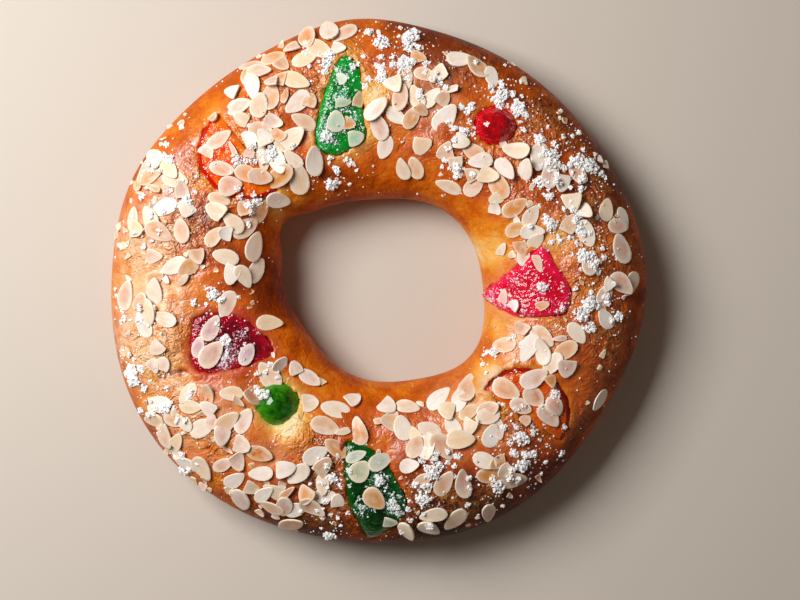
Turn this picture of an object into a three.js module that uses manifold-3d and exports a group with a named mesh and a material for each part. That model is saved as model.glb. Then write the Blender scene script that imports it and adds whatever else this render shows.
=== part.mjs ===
// A roscón de reyes: a sweet yeast bread baked as a ring and served on Twelfth Night. Candied
// fruit is pressed into its crown, and flaked almonds and lumps of damp sugar stick to the crust.
// Millimetres, +Z up. The ring stands on z = 0, with the origin in the middle of its footprint.

import * as THREE from 'three';
import { mergeVertices } from 'three/addons/utils/BufferGeometryUtils.js';
import Module from 'manifold-3d';

const wasm = await Module();
wasm.setup();

// ------------------------------------------------------------------------------ the dough ring

// An edge seen from above: its mean radius, then the places where the dough swelled or drew in,
// each as [direction in degrees, spread in degrees, rise in mm].
const OUTER_EDGE = {
  mean: 141.9,
  swells: [[-147, 30, 11], [96, 10, 4.4], [-1, 16, 7.3], [-63, 19, 5.5], [158, 12, 4.5]],
};
const HOLE_EDGE = {
  mean: 56.7,
  swells: [[149, 8, 7.7], [-38, 18, 9.3], [93, 30, -11.2], [-145, 25, -7.5]],
};
const CROWN = {
  mean: 49.5,
  swells: [[-150, 40, 2.5], [95, 22, -1.5], [-20, 28, 1.2]],
};

const BELLY_HEIGHT = 20; // where the ring is widest
const TOP_FULLNESS = 2.2; // exponent of the rounded top, 2 being an ellipse
const UNDER_FULLNESS = 2.4;
const UNDER_DEPTH = 26; // the underside's full curve, which the baking tray cuts off at z = 0

const AROUND = 68; // sections round the ring
const OVER = 11; // steps over the top of a section
const UNDER = 2; // steps from the belly down to the tray, on each side

// Puffs and dips of the top crust, as [x, y, spread, rise].
const DOUGH_SWELLS = [
  [0, 92, 8, 3], // beside the green wedge
  [-40, 60, 9, 2],
  [-42, -84, 9, 3.5], // below the green cherry
  [-66, -82, 8, 2.5],
  [-116, -32, 9, 2.5], // outside the purple slice
  [-83, -62, 10, 2],
  [-70, 8, 14, 2], // the bare shoulder by the hole
  [56, -52, 8, 2.5], // at the tip of the lower orange slice
  [104, -46, 10, 2.5],
  [112, 8, 10, 2.5], // outside the pink wedge
  [76, 40, 12, 2],
  [44, -100, 16, 1.5],
  [22, -98, 9, 2],
];

// ----------------------------------------------------------------------------- candied fruit

const FRUIT_GAP = 0.3; // air between a fruit and the dough round it
const SLICE_RINGS = [1, 0.72]; // outlines that span a fruit's top, in shares of its edge
const CHERRY_RINGS = [1, 0.86, 0.5];
const CHERRY_SIDES = 14;
const HALF_SLICE_SIDES = 14;
const STEEPEST_SEAT = 0.8; // past this share of the half width a fruit lies on a straight slope
const POCKET_HEADROOM = 16;

// rise is how far a fruit stands above the crust, roll the width of its rounded rim, dent the
// depth of the hollow that it made and depth its own thickness below the crust. flakes are the
// almonds that lie on it, as [x, y, length, width, bearing in degrees], the lowest first, and
// lumps its sugar, as [x, y, radius].
const FRUITS = [
  {
    name: 'green_wedge',
    edge: cutOutline([[-19, 123], [-10, 114], [-9, 100], [-8, 87], [-7, 77], [-22, 68],
      [-32, 71], [-34, 79], [-31, 94], [-27, 107]]),
    rise: 1.6, roll: 4, dent: 2.2, depth: 7, colour: 0x0f8a3c,
    flakes: [[-20, 109, 7, 7, 20], [-11, 97, 11, 6, 80], [-17, 85, 10, 7, -20], [-13, 77, 11, 9, 20]],
    lumps: [[-28, 78, 4.4]],
  },
  {
    name: 'green_strip',
    edge: cutOutline([[-17, -87], [-3, -91.5], [7, -103], [14, -116], [15.5, -125], [11, -132],
      [1, -140], [-6, -141], [-11.5, -130], [-16, -121], [-18, -104]]),
    rise: 1.8, roll: 4, dent: 2.2, depth: 7, colour: 0x06531c,
    flakes: [[-12, -95, 12, 6, 25], [-10, -103, 13, 11, 60], [1, -98, 15, 9, 25],
      [-2, -118, 14, 11, -50], [5, -131, 11, 6, -15]],
    lumps: [[1, -108, 3.8], [8, -122, 3.2]],
  },
  {
    name: 'pink_wedge',
    edge: cutOutline([[57, -8], [67, 1], [77, 9], [89, 18.5], [96, 8], [103, -2], [104, -10],
      [101, -18], [90, -19.5], [77, -20], [67, -16]]),
    rise: 2.2, roll: 3, dent: 1.5, depth: 6, colour: 0xd8324f,
    flakes: [[86, 10, 12, 5, -70], [68, -10, 11, 6, 70], [88, -14, 10, 5, 15]],
    lumps: [[89, -4, 3]],
  },
  {
    name: 'purple_slice',
    edge: cutOutline([[-99, -21], [-87, -18], [-74, -20.5], [-63, -29], [-57, -38], [-64, -44],
      [-84, -49], [-97, -50], [-101, -42], [-101, -31]]),
    rise: 0.8, roll: 5, dent: 3, depth: 7, colour: 0x8e1c3c,
    flakes: [[-97, -36, 12, 7, 75], [-90, -26, 15, 9, 60], [-90, -40, 17, 11, 55],
      [-71, -40, 13, 8, 60]],
    lumps: [[-82, -33, 3.2]],
  },
  {
    name: 'orange_slice_upper',
    edge: halfSlice(-71, 70, 26.5, -142),
    rise: 1.4, roll: 3, dent: 1.5, depth: 6, colour: 0xe6571b,
    flakes: [[-86, 76, 15, 8, 35], [-93, 69, 10, 9, 60], [-84, 60, 14, 8, -15],
      [-80, 51, 13, 11, 10], [-70, 57, 16, 9, -28]],
    lumps: [[-76, 65, 3.6]],
  },
  {
    name: 'orange_slice_lower',
    edge: halfSlice(78, -73.5, 26, 57),
    rise: 1.4, roll: 3, dent: 1.5, depth: 6, colour: 0xb5330f,
    flakes: [[69, -59, 16, 11, -30], [84, -63, 13, 10, -45], [84, -53, 16, 10, 27],
      [77, -68, 13, 8, -22], [92, -73, 15, 10, -50]],
    lumps: [[95, -62, 3.4]],
  },
  {
    name: 'red_cherry',
    edge: cherryOutline(63.5, 84, 11.2, 0.92), cherry: true,
    rise: 6, roll: 9, dent: 4, depth: 8, colour: 0xa50a1c,
    flakes: [],
    lumps: [],
  },
  {
    name: 'green_cherry',
    edge: cherryOutline(-54.5, -67, 11.3, 1), cherry: true,
    rise: 6.5, roll: 10, dent: 4, depth: 8, colour: 0x1f6f12,
    flakes: [],
    lumps: [[-61, -62, 3]],
  },
];

// --------------------------------------------------------------------------------- toppings

// Flaked almonds fall in drifts, as [x, y, spread in x, spread in y, number].
const FLAKE_DRIFTS = [
  [-36, 129, 9, 5, 7], [-66, 117, 9, 5, 7], [-57, 96, 15, 8, 13], [-52, 66, 11, 10, 11],
  [-124, 46, 8, 15, 13], [-79, 38, 12, 5, 7], [-103, 11, 11, 8, 10], [-74, 18, 6, 9, 6],
  [-125, -24, 9, 12, 9], [-56, -20, 8, 7, 5], [-30, -68, 13, 12, 12], [-85, -68, 11, 9, 10],
  [-110, -80, 12, 9, 10], [-85, -101, 12, 8, 10], [-43, -108, 14, 7, 10], [-54, -127, 18, 4, 10],
  [29, -68, 16, 6, 9], [37, -85, 18, 6, 11], [46, -105, 17, 6, 9], [30, -129, 18, 4, 7],
  [94, -36, 12, 7, 11], [123, -38, 4, 12, 3], [36, 118, 17, 5, 9], [23, 95, 17, 6, 12],
  [23, 72, 13, 6, 8], [49, 57, 11, 7, 8], [79, 54, 13, 9, 9], [117, 37, 9, 8, 7],
  [75, 24, 6, 7, 4], [127, 2, 7, 7, 7],
];
const FLAKE_SEED = 20260106;
const FLAKE_TRIES = 14;
const FLAKE_SPACING = 0.46; // least distance between two flakes, in shares of their mean length
const FLAKE_REACH = 0.8; // flakes nearer than this share of their mean length overlap
const FLAKE_BAND = [-0.76, 0.9]; // how far down the inner and the outer side flakes stick
const FUSED_SHARE = 0.44; // the large flakes of each drift, which stand out as relief
const FLAKE_THICKNESS = 1.1;
const FLAKE_SUNK = 1.5; // into the crust, with the flake's foot
const FLAKE_LEAN = 0.13; // slope at which a flake leans on the one under it
const FLAKE_LAYER = 0.7; // how much higher the upper one lies
const WHOLE_SHARE = 0.6;
const BROKEN_SHARE = 0.9;

// Sugar is strewn damp and dries into lumps, as [x, y, spread, number, radius].
const SUGAR_DRIFTS = [
  [11, 134, 5, 2, 4.6], [15, 118, 4, 1, 4.2], [0, 113, 4, 1, 3.4], [27, 109, 4, 1, 4.2],
  [-28, 119, 3, 1, 3.4], [67, 97, 5, 2, 3.8], [47, 86, 4, 1, 4], [43, 61, 2, 1, 3.4],
  [94, 72, 4, 2, 4.4], [113, 60, 4, 2, 4.4], [96, 46, 5, 1, 4], [96, 33, 4, 1, 3.8],
  [112, 26, 4, 1, 4], [109, 12, 4, 1, 4.2], [113, -15, 4, 2, 4.6], [65, -40, 4, 1, 3.2],
  [73, -80, 4, 1, 4], [84, -93, 5, 1, 3.6], [32, -101, 3, 1, 4], [22, -120, 3, 1, 4],
  [57, -118, 7, 1, 3.6], [-25, -106, 4, 1, 3.2], [-29, -131, 5, 1, 3.2], [-66, -58, 3, 1, 3.4],
  [-136, -50, 3, 2, 4.4], [-114, -65, 5, 1, 3.4], [-111, -100, 7, 1, 3.4], [-127, -21, 3, 1, 3.2],
  [-90, -11, 4, 1, 3.4], [-109, 48, 5, 1, 3.6], [-112, 64, 5, 1, 3.2], [-66, 68, 5, 1, 4.2],
  [-71, 41, 2, 1, 3.2], [-20, 57, 4, 1, 3.4],
];
const SUGAR_SEED = 1205;
const SUGAR_TRIES = 8;
const SUGAR_BAND = [-0.95, 0.95];
const SUGAR_FLATTENED = 0.72;

// ------------------------------------------------------------------------------ small helpers

/** Repeatable draws between 0 and 1. */
function makeDraw(seed) {
  let state = seed >>> 0;
  return () => {
    state = (Math.imul(state, 1664525) + 1013904223) >>> 0;
    return state / 4294967296;
  };
}

/** A draw that bunches round 0, with a spread of 1. */
function bunched(draw) {
  return 2 * (draw() + draw() + draw() - 1.5);
}

function bell(away, spread) {
  return Math.exp(-0.5 * (away / spread) ** 2);
}

/** The value of an edge or height in one direction round the ring. */
function roundValue(direction, profile) {
  let value = profile.mean;
  for (const [centre, spread, rise] of profile.swells) {
    const away = THREE.MathUtils.euclideanModulo(direction - centre + 180, 360) - 180;
    value += rise * bell(away, spread);
  }
  return value;
}

/** The ring's half width, crown and middle radius at an angle in radians. */
function ringAt(angle) {
  const direction = THREE.MathUtils.radToDeg(angle);
  const outer = roundValue(direction, OUTER_EDGE);
  const hole = roundValue(direction, HOLE_EDGE);
  return { middle: (outer + hole) / 2, half: (outer - hole) / 2, crown: roundValue(direction, CROWN) };
}

/** Where a point in plan lies across the ring: -1 at the hole, 0 on the crown line, 1 outside. */
function acrossAt(x, y) {
  const ring = ringAt(Math.atan2(y, x));
  return (Math.hypot(x, y) - ring.middle) / ring.half;
}

/** Distance from a point in plan to an outline, below zero inside it. */
function outlineDistance(outline, x, y) {
  let nearest = Infinity;
  let inside = false;
  outline.forEach(([ax, ay], i) => {
    const [bx, by] = outline[(i + 1) % outline.length];
    const along = ((x - ax) * (bx - ax) + (y - ay) * (by - ay)) / ((bx - ax) ** 2 + (by - ay) ** 2);
    const t = Math.min(1, Math.max(0, along));
    nearest = Math.min(nearest, Math.hypot(x - ax - t * (bx - ax), y - ay - t * (by - ay)));
    if (ay > y !== by > y && x < ax + ((y - ay) / (by - ay)) * (bx - ax)) {
      inside = !inside;
    }
  });
  return inside ? -nearest : nearest;
}

// ---------------------------------------------------------------------------- fruit outlines

/** Half of a round slice, whose arc bulges towards the bearing in degrees. */
function halfSlice(x, y, radius, bearing) {
  const points = [];
  for (let i = 0; i <= HALF_SLICE_SIDES; i += 1) {
    const angle = THREE.MathUtils.degToRad(bearing - 90 + (180 * i) / HALF_SLICE_SIDES);
    points.push([x + radius * Math.cos(angle), y + radius * Math.sin(angle)]);
  }
  return points;
}

function cherryOutline(x, y, radius, stretch) {
  const points = [];
  for (let i = 0; i < CHERRY_SIDES; i += 1) {
    const angle = (2 * Math.PI * i) / CHERRY_SIDES;
    points.push([x + radius * Math.cos(angle), y + radius * stretch * Math.sin(angle)]);
  }
  return points;
}

/** A closed curve through the corner points, with one more point between each two. */
function cutOutline(corners) {
  const points = [];
  corners.forEach((here, i) => {
    const before = corners.at(i - 1);
    const next = corners[(i + 1) % corners.length];
    const after = corners[(i + 2) % corners.length];
    points.push(here);
    points.push([0, 1].map((k) => (9 * (here[k] + next[k]) - before[k] - after[k]) / 16));
  });
  return points;
}

/** The middle of an outline, and the mean distance of its points from there. */
function outlineSize(outline) {
  const mean = (values) => values.reduce((sum, value) => sum + value) / values.length;
  const middle = [0, 1].map((k) => mean(outline.map((point) => point[k])));
  const spread = mean(outline.map(([x, y]) => Math.hypot(x - middle[0], y - middle[1])));
  return { middle, spread };
}

for (const fruit of FRUITS) {
  Object.assign(fruit, outlineSize(fruit.edge));
}

// ------------------------------------------------------------------------------- the surface

/** Height of the smooth ring above the tray, on a straight slope past the limit across. */
function domeHeight(x, y, limit) {
  const ring = ringAt(Math.atan2(y, x));
  const across = Math.abs(acrossAt(x, y));
  const t = Math.min(across, limit);
  const rest = 1 - t ** TOP_FULLNESS;
  const height = rest ** (1 / TOP_FULLNESS);
  const slope = -(rest ** (1 / TOP_FULLNESS - 1)) * t ** (TOP_FULLNESS - 1);
  return BELLY_HEIGHT + (ring.crown - BELLY_HEIGHT) * (height + slope * (across - t));
}

/** Puffs and dips of the top crust, with the hollow that each fruit made. */
function relief(x, y) {
  let height = 0;
  for (const [cx, cy, spread, rise] of DOUGH_SWELLS) {
    height += rise * bell(Math.hypot(x - cx, y - cy), spread);
  }
  for (const { middle, spread, dent } of FRUITS) {
    height -= dent * bell(Math.hypot(x - middle[0], y - middle[1]), spread);
  }
  return height;
}

/** A point of the crust. turn runs from 0 at the outer belly over the crown to PI at the hole. */
function crustPoint(angle, turn) {
  const ring = ringAt(angle);
  const up = Math.max(0, Math.sin(turn)) ** (2 / TOP_FULLNESS);
  const across = Math.sign(Math.cos(turn)) * Math.abs(Math.cos(turn)) ** (2 / TOP_FULLNESS);
  const radius = ring.middle + ring.half * across;
  const x = radius * Math.cos(angle);
  const y = radius * Math.sin(angle);
  const height = BELLY_HEIGHT + (ring.crown - BELLY_HEIGHT) * up + relief(x, y) * up ** 2;
  return new THREE.Vector3(x, y, height);
}

/** The crust's point and outward direction above or beside a place in plan. */
function crustFrame(x, y) {
  const angle = Math.atan2(y, x);
  const across = acrossAt(x, y);
  const turn = Math.acos(Math.sign(across) * Math.abs(across) ** (TOP_FULLNESS / 2));
  const step = 0.02;
  const point = crustPoint(angle, turn);
  const along = crustPoint(angle + step, turn).sub(crustPoint(angle - step, turn));
  const over = crustPoint(angle, turn - step).sub(crustPoint(angle, turn + step));
  return { point, normal: over.cross(along).normalize() };
}

/** Height of a fruit's top, which rounds off towards its rim. */
function fruitHeight(fruit, x, y) {
  const inward = Math.max(0, -outlineDistance(fruit.edge, x, y));
  const short = 1 - Math.min(1, inward / fruit.roll);
  return domeHeight(x, y, STEEPEST_SEAT) - fruit.dent / 2 + fruit.rise * (1 - short ** 2);
}

function fruitFrame(fruit, x, y) {
  const step = 1.5;
  const height = (dx, dy) => fruitHeight(fruit, x + dx, y + dy);
  const slopeX = (height(step, 0) - height(-step, 0)) / (2 * step);
  const slopeY = (height(0, step) - height(0, -step)) / (2 * step);
  return {
    point: new THREE.Vector3(x, y, height(0, 0)),
    normal: new THREE.Vector3(-slopeX, -slopeY, 1).normalize(),
  };
}

// -------------------------------------------------------------------------- closed geometries

function geometryFrom(points, triangles) {
  const geometry = new THREE.BufferGeometry();
  geometry.setAttribute('position', new THREE.Float32BufferAttribute(points.flat(), 3));
  geometry.setIndex(triangles);
  return geometry;
}

/** The plain dough ring, swept round as one closed section after another. */
function doughGeometry() {
  const footTurn = Math.asin((BELLY_HEIGHT / UNDER_DEPTH) ** (UNDER_FULLNESS / 2));
  const under = (angle, share, side) => {
    const ring = ringAt(angle);
    const turn = footTurn * share;
    const radius = ring.middle + side * ring.half * Math.cos(turn) ** (2 / UNDER_FULLNESS);
    const height = BELLY_HEIGHT - UNDER_DEPTH * Math.sin(turn) ** (2 / UNDER_FULLNESS);
    const level = share === 1 ? 0 : height;
    return [radius * Math.cos(angle), radius * Math.sin(angle), level];
  };
  const points = [];
  for (let i = 0; i < AROUND; i += 1) {
    const angle = (2 * Math.PI * i) / AROUND;
    for (let k = 0; k <= OVER; k += 1) {
      points.push(crustPoint(angle, (Math.PI * k) / OVER).toArray());
    }
    for (let k = 1; k <= UNDER; k += 1) {
      points.push(under(angle, k / UNDER, -1));
    }
    for (let k = UNDER; k >= 1; k -= 1) {
      points.push(under(angle, k / UNDER, 1));
    }
  }
  const section = OVER + 1 + 2 * UNDER;
  const triangles = [];
  for (let i = 0; i < AROUND; i += 1) {
    for (let k = 0; k < section; k += 1) {
      const a = i * section + k;
      const b = i * section + ((k + 1) % section);
      const shift = i === AROUND - 1 ? -(AROUND - 1) * section : section;
      triangles.push(a, a + shift, b, b, a + shift, b + shift);
    }
  }
  return geometryFrom(points, triangles);
}

/** An outline moved out by a distance, square to itself at each point. */
function grownOutline(outline, distance) {
  return outline.map(([x, y], i) => {
    const [ax, ay] = outline.at(i - 1);
    const [bx, by] = outline[(i + 1) % outline.length];
    const length = Math.hypot(bx - ax, by - ay);
    return [x + (distance * (by - ay)) / length, y - (distance * (bx - ax)) / length];
  });
}

/** True if an outline runs anticlockwise, seen from above. */
function runsAnticlockwise(outline) {
  let area = 0;
  outline.forEach(([ax, ay], i) => {
    const [bx, by] = outline[(i + 1) % outline.length];
    area += ax * by - bx * ay;
  });
  return area > 0;
}

/** A fruit's body, or with a gap and headroom the pocket that it sits in. */
function fruitGeometry(fruit, gap, headroom) {
  const edge = runsAnticlockwise(fruit.edge) ? fruit.edge : [...fruit.edge].reverse();
  const outline = grownOutline(edge, gap);
  const [cx, cy] = fruit.middle;
  const count = outline.length;
  const points = [];
  const floor = (x, y) => domeHeight(x, y, STEEPEST_SEAT) - fruit.dent / 2 - fruit.depth - gap;
  const rings = fruit.cherry ? CHERRY_RINGS : SLICE_RINGS;
  for (const share of rings) {
    for (const [ox, oy] of outline) {
      const x = cx + (ox - cx) * share;
      const y = cy + (oy - cy) * share;
      points.push([x, y, fruitHeight(fruit, x, y) + headroom]);
    }
  }
  outline.forEach(([x, y]) => points.push([x, y, floor(x, y)]));
  points.push([cx, cy, fruitHeight(fruit, cx, cy) + headroom]);
  points.push([cx, cy, floor(cx, cy)]);
  const bottomRing = rings.length * count;
  const topMiddle = points.length - 2;
  const bottomMiddle = points.length - 1;
  const triangles = [];
  for (let i = 0; i < count; i += 1) {
    const j = (i + 1) % count;
    for (let ring = 0; ring < rings.length - 1; ring += 1) {
      const outer = ring * count;
      const inner = outer + count;
      triangles.push(outer + i, outer + j, inner + i, inner + i, outer + j, inner + j);
    }
    const last = (rings.length - 1) * count;
    triangles.push(last + i, last + j, topMiddle);
    triangles.push(i, bottomRing + i, j, j, bottomRing + i, bottomRing + j);
    triangles.push(bottomRing + j, bottomRing + i, bottomMiddle);
  }
  return geometryFrom(points, triangles);
}

/** Outline of a flaked almond: pointed oval, an oval snapped across, or a narrow splinter. */
function flakeShape({ kind, length, width }) {
  const sides = kind === 'whole' ? 6 : 5;
  const snapped = kind === 'broken' ? -0.35 : -1;
  const points = [];
  for (let i = 0; i < sides; i += 1) {
    const angle = (2 * Math.PI * (i + 0.5)) / sides;
    const along = Math.max(snapped, Math.cos(angle));
    const taper = 1 - 0.22 * Math.cos(angle);
    points.push(new THREE.Vector2((length / 2) * along, (width / 2) * taper * Math.sin(angle)));
  }
  return new THREE.Shape(points);
}

/** Turns and moves a geometry so that its z stands on the frame and its x points along bearing. */
function seat(geometry, frame, bearing) {
  const along = new THREE.Vector3(Math.cos(bearing), Math.sin(bearing), 0);
  const across = new THREE.Vector3().crossVectors(frame.normal, along).normalize();
  along.crossVectors(across, frame.normal);
  const placing = new THREE.Matrix4().makeBasis(along, across, frame.normal);
  placing.setPosition(frame.point);
  return geometry.applyMatrix4(placing);
}

/** A flake as a thin prism whose foot is sunk, with a gap when it is to be cut out. */
function flakeGeometry(flake, frame, gap) {
  const size = { kind: flake.kind, length: flake.length + 2 * gap, width: flake.width + 2 * gap };
  const rise = FLAKE_LAYER * flake.layer + FLAKE_THICKNESS;
  const depth = FLAKE_SUNK + rise + gap + (gap > 0 ? POCKET_HEADROOM / 2 : 0);
  const geometry = new THREE.ExtrudeGeometry(flakeShape(size), { depth, bevelEnabled: false });
  geometry.translate(0, 0, -FLAKE_SUNK - gap);
  return seat(geometry, frame, flake.bearing);
}

/** A lump of damp sugar: a rough ball, a little flattened and half sunk. */
function lumpGeometry(lump, frame) {
  const geometry = solidGeometry(new THREE.IcosahedronGeometry(lump.radius, 0));
  const draw = makeDraw(lump.seed);
  const position = geometry.attributes.position;
  for (let i = 0; i < position.count; i += 1) {
    const share = 0.8 + 0.4 * draw();
    position.setXYZ(i, position.getX(i) * share, position.getY(i) * share, position.getZ(i) * share);
  }
  geometry.scale(1, 1, SUGAR_FLATTENED);
  return seat(geometry, frame, 2 * Math.PI * draw());
}

// ------------------------------------------------------------------------- where toppings lie

/** True if a place is on the topped part of the crust and off every fruit by a margin. */
function isFree(x, y, band, margin) {
  const across = acrossAt(x, y);
  if (across < band[0] || across > band[1]) {
    return false;
  }
  return FRUITS.every((fruit) => outlineDistance(fruit.edge, x, y) > margin);
}

/** The kind of flake: the first of a drift are whole, the next snapped, the last splinters. */
function flakeKind(share) {
  if (share < WHOLE_SHARE) {
    return 'whole';
  }
  return share < BROKEN_SHARE ? 'broken' : 'splinter';
}

function flakeSize(kind, size, slimness) {
  if (kind === 'whole') {
    const length = 12.5 + 5 * size;
    return { length, width: length * (0.54 + 0.12 * slimness) };
  }
  if (kind === 'broken') {
    const length = 10 + 4 * size;
    return { length, width: length * (0.6 + 0.2 * slimness) };
  }
  return { length: 8 + 5 * size, width: 2.6 + 1.6 * slimness };
}

/** All flakes on the dough, each with its frame, leaning on those that fell before it. */
function scatterFlakes() {
  const draw = makeDraw(FLAKE_SEED);
  const flakes = [];
  for (const [cx, cy, spreadX, spreadY, number] of FLAKE_DRIFTS) {
    for (let i = 0; i < number; i += 1) {
      const kind = flakeKind(i / number);
      for (let attempt = 0; attempt < FLAKE_TRIES; attempt += 1) {
        const widening = 1 + attempt / FLAKE_TRIES;
        const x = cx + spreadX * widening * bunched(draw);
        const y = cy + spreadY * widening * bunched(draw);
        const size = flakeSize(kind, draw(), draw());
        const bearing = 2 * Math.PI * draw();
        const tilt = [0.12 * (draw() - 0.5), 0.12 * (draw() - 0.5)];
        if (!isFree(x, y, FLAKE_BAND, 0.3 * size.length)) {
          continue;
        }
        const flake = { kind, ...size, bearing, tilt, x, y, layer: 0, fused: i / number < FUSED_SHARE };
        flake.frame = crustFrame(x, y);
        if (settle(flake, flakes)) {
          flakes.push(flake);
          break;
        }
      }
    }
  }
  return flakes;
}

/** Leans a flake on those under it. False if it would lie too squarely on one of them. */
function settle(flake, flakes) {
  const lean = new THREE.Vector3();
  for (const other of flakes) {
    const away = new THREE.Vector3().subVectors(other.frame.point, flake.frame.point);
    const mean = (flake.length + other.length) / 2;
    const distance = away.length();
    if (distance < FLAKE_SPACING * mean) {
      return false;
    }
    if (distance < FLAKE_REACH * mean) {
      lean.addScaledVector(away, 1 / distance);
      flake.layer = Math.min(2, Math.max(flake.layer, other.layer + 1));
    }
  }
  if (flake.layer > 0) {
    flake.frame.normal.addScaledVector(lean.normalize(), -FLAKE_LEAN);
  }
  flake.frame.normal.add(new THREE.Vector3(flake.tilt[0], flake.tilt[1], 0)).normalize();
  return true;
}

function scatterLumps() {
  const draw = makeDraw(SUGAR_SEED);
  const lumps = [];
  for (const [cx, cy, spread, number, mean] of SUGAR_DRIFTS) {
    for (let i = 0; i < number; i += 1) {
      for (let attempt = 0; attempt < SUGAR_TRIES; attempt += 1) {
        const x = cx + spread * bunched(draw);
        const y = cy + spread * bunched(draw);
        const radius = mean * (0.8 + 0.4 * draw());
        if (isFree(x, y, SUGAR_BAND, 0.8 * radius)) {
          lumps.push({ x, y, radius, seed: SUGAR_SEED + lumps.length });
          break;
        }
      }
    }
  }
  return lumps;
}

/** The flakes that lie on a fruit, the first ones lowest. */
function fruitFlakes(fruit) {
  return fruit.flakes.map(([x, y, length, width, degrees]) => {
    const whole = length / width < 2.2 && length > 11;
    const bearing = THREE.MathUtils.degToRad(degrees);
    return { kind: whole ? 'whole' : 'broken', length, width, bearing, x, y, layer: 0 };
  });
}

// ------------------------------------------------------------------------ joining and cutting

/** A geometry with only positions, its shared corners merged. */
function solidGeometry(geometry) {
  const bare = geometry.clone();
  bare.deleteAttribute('normal');
  bare.deleteAttribute('uv');
  return mergeVertices(bare, 1e-4);
}

function toSolid(geometry) {
  const merged = solidGeometry(geometry);
  return new wasm.Manifold(new wasm.Mesh({
    numProp: 3,
    vertProperties: new Float32Array(merged.attributes.position.array),
    triVerts: new Uint32Array(merged.index.array),
  }));
}

function joinAll(solids) {
  return solids.reduce((whole, solid) => whole.add(solid));
}

/** The main body alone: sealed hollows are filled and loose scraps dropped. */
function mainBody(solid) {
  return solid.decompose().reduce((best, body) => (body.volume() > best.volume() ? body : best));
}

function toMesh(solid, name, colour, roughness) {
  const { vertProperties, triVerts } = solid.getMesh();
  const geometry = new THREE.BufferGeometry();
  geometry.setAttribute('position', new THREE.Float32BufferAttribute(vertProperties, 3));
  geometry.setIndex(new THREE.Uint32BufferAttribute(triVerts, 1));
  geometry.computeVertexNormals();
  const mesh = new THREE.Mesh(geometry, new THREE.MeshStandardMaterial({ color: colour, roughness }));
  mesh.material.metalness = 0;
  mesh.name = name;
  return mesh;
}

// ------------------------------------------------------------------------------ the sub-parts

function fruitSolid(fruit) {
  const toppings = fruitFlakes(fruit).map(
    (flake) => toSolid(flakeGeometry(flake, fruitFrame(fruit, flake.x, flake.y), 0)),
  );
  for (const [x, y, radius] of fruit.lumps) {
    const lump = { radius, seed: Math.round(radius * 100) };
    toppings.push(toSolid(lumpGeometry(lump, fruitFrame(fruit, x, y))));
  }
  return mainBody(joinAll([toSolid(fruitGeometry(fruit, 0, 0)), ...toppings]));
}

/** All that has to be cut from the dough, so that a fruit and its toppings sit in it freely. */
function fruitPocket(fruit) {
  const toppings = fruitFlakes(fruit).map(
    (flake) => toSolid(flakeGeometry(flake, fruitFrame(fruit, flake.x, flake.y), FRUIT_GAP)),
  );
  return joinAll([toSolid(fruitGeometry(fruit, FRUIT_GAP, POCKET_HEADROOM)), ...toppings]);
}

/** The bread, with the large flakes and the sugar lumps fused on and the fruit pockets cut. */
function breadSolid() {
  const flakes = scatterFlakes().filter((flake) => flake.fused);
  const lumps = scatterLumps();
  const whole = joinAll([
    toSolid(doughGeometry()),
    ...flakes.map((flake) => toSolid(flakeGeometry(flake, flake.frame, 0))),
    ...lumps.map((lump) => toSolid(lumpGeometry(lump, crustFrame(lump.x, lump.y)))),
  ]);
  return mainBody(FRUITS.reduce((bread, fruit) => bread.subtract(fruitPocket(fruit)), whole));
}

const roscon = new THREE.Group();
roscon.add(toMesh(breadSolid(), 'bread_ring', 0xc97a35, 0.45));
for (const fruit of FRUITS) {
  roscon.add(toMesh(fruitSolid(fruit), fruit.name, fruit.colour, 0.3));
}

export default roscon;
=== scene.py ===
"""A roscón de reyes: a ring of sweet yeast bread with candied fruit, almonds and sugar.

A circle is spun into a ring, which is shaped into the bread, and each candied fruit is shaped
from a sphere. Flaked almonds and grains of sugar are modelled once in a few variants and
copied. Forms are worked out in millimetres, with +Z up and the ring standing on z = 0, and the
meshes are written in metres.
"""

import logging
import math
from collections.abc import Sequence
from dataclasses import dataclass, field
from enum import Enum
from functools import partial

import bpy
import numpy as np
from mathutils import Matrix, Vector, noise


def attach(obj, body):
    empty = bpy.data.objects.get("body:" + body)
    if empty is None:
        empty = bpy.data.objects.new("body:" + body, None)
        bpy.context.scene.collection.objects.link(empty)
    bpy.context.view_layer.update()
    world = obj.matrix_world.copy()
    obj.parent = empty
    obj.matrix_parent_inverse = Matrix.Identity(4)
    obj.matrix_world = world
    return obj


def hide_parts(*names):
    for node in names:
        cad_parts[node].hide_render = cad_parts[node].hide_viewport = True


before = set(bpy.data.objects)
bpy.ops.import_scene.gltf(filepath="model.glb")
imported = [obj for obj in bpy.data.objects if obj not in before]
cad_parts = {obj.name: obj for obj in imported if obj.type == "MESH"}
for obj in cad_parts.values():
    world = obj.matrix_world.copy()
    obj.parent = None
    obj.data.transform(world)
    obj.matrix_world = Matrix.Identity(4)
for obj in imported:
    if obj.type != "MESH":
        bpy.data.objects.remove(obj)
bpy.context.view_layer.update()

LOG = logging.getLogger("roscon")
Array = np.ndarray
Place = tuple[float, float]
Spot = tuple[float, float, float]  # x, y and radius
Patch = tuple[float, float, float, float]  # x, y, spread and strength
Layers = tuple[tuple[float, float, int], ...]  # distance between bumps, height, and seed
Texture = tuple[float, float, float]  # distance between features, detail, and one more setting
Colour = tuple[float, float, float, float]

METRES = 0.001  # one millimetre
BELLY_HEIGHT = 20.0  # where the ring is widest
TOP_FULLNESS = 2.2  # exponent of the rounded top, 2 being an ellipse
UNDER_FULLNESS = 2.4
UNDER_DEPTH = 26.0  # the underside's full curve, which the baking tray cuts off at z = 0
STEEPEST_SEAT = 0.8  # past this share of the half width a fruit lies on a straight slope


# ------------------------------------------------------------------------------ small helpers


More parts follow.
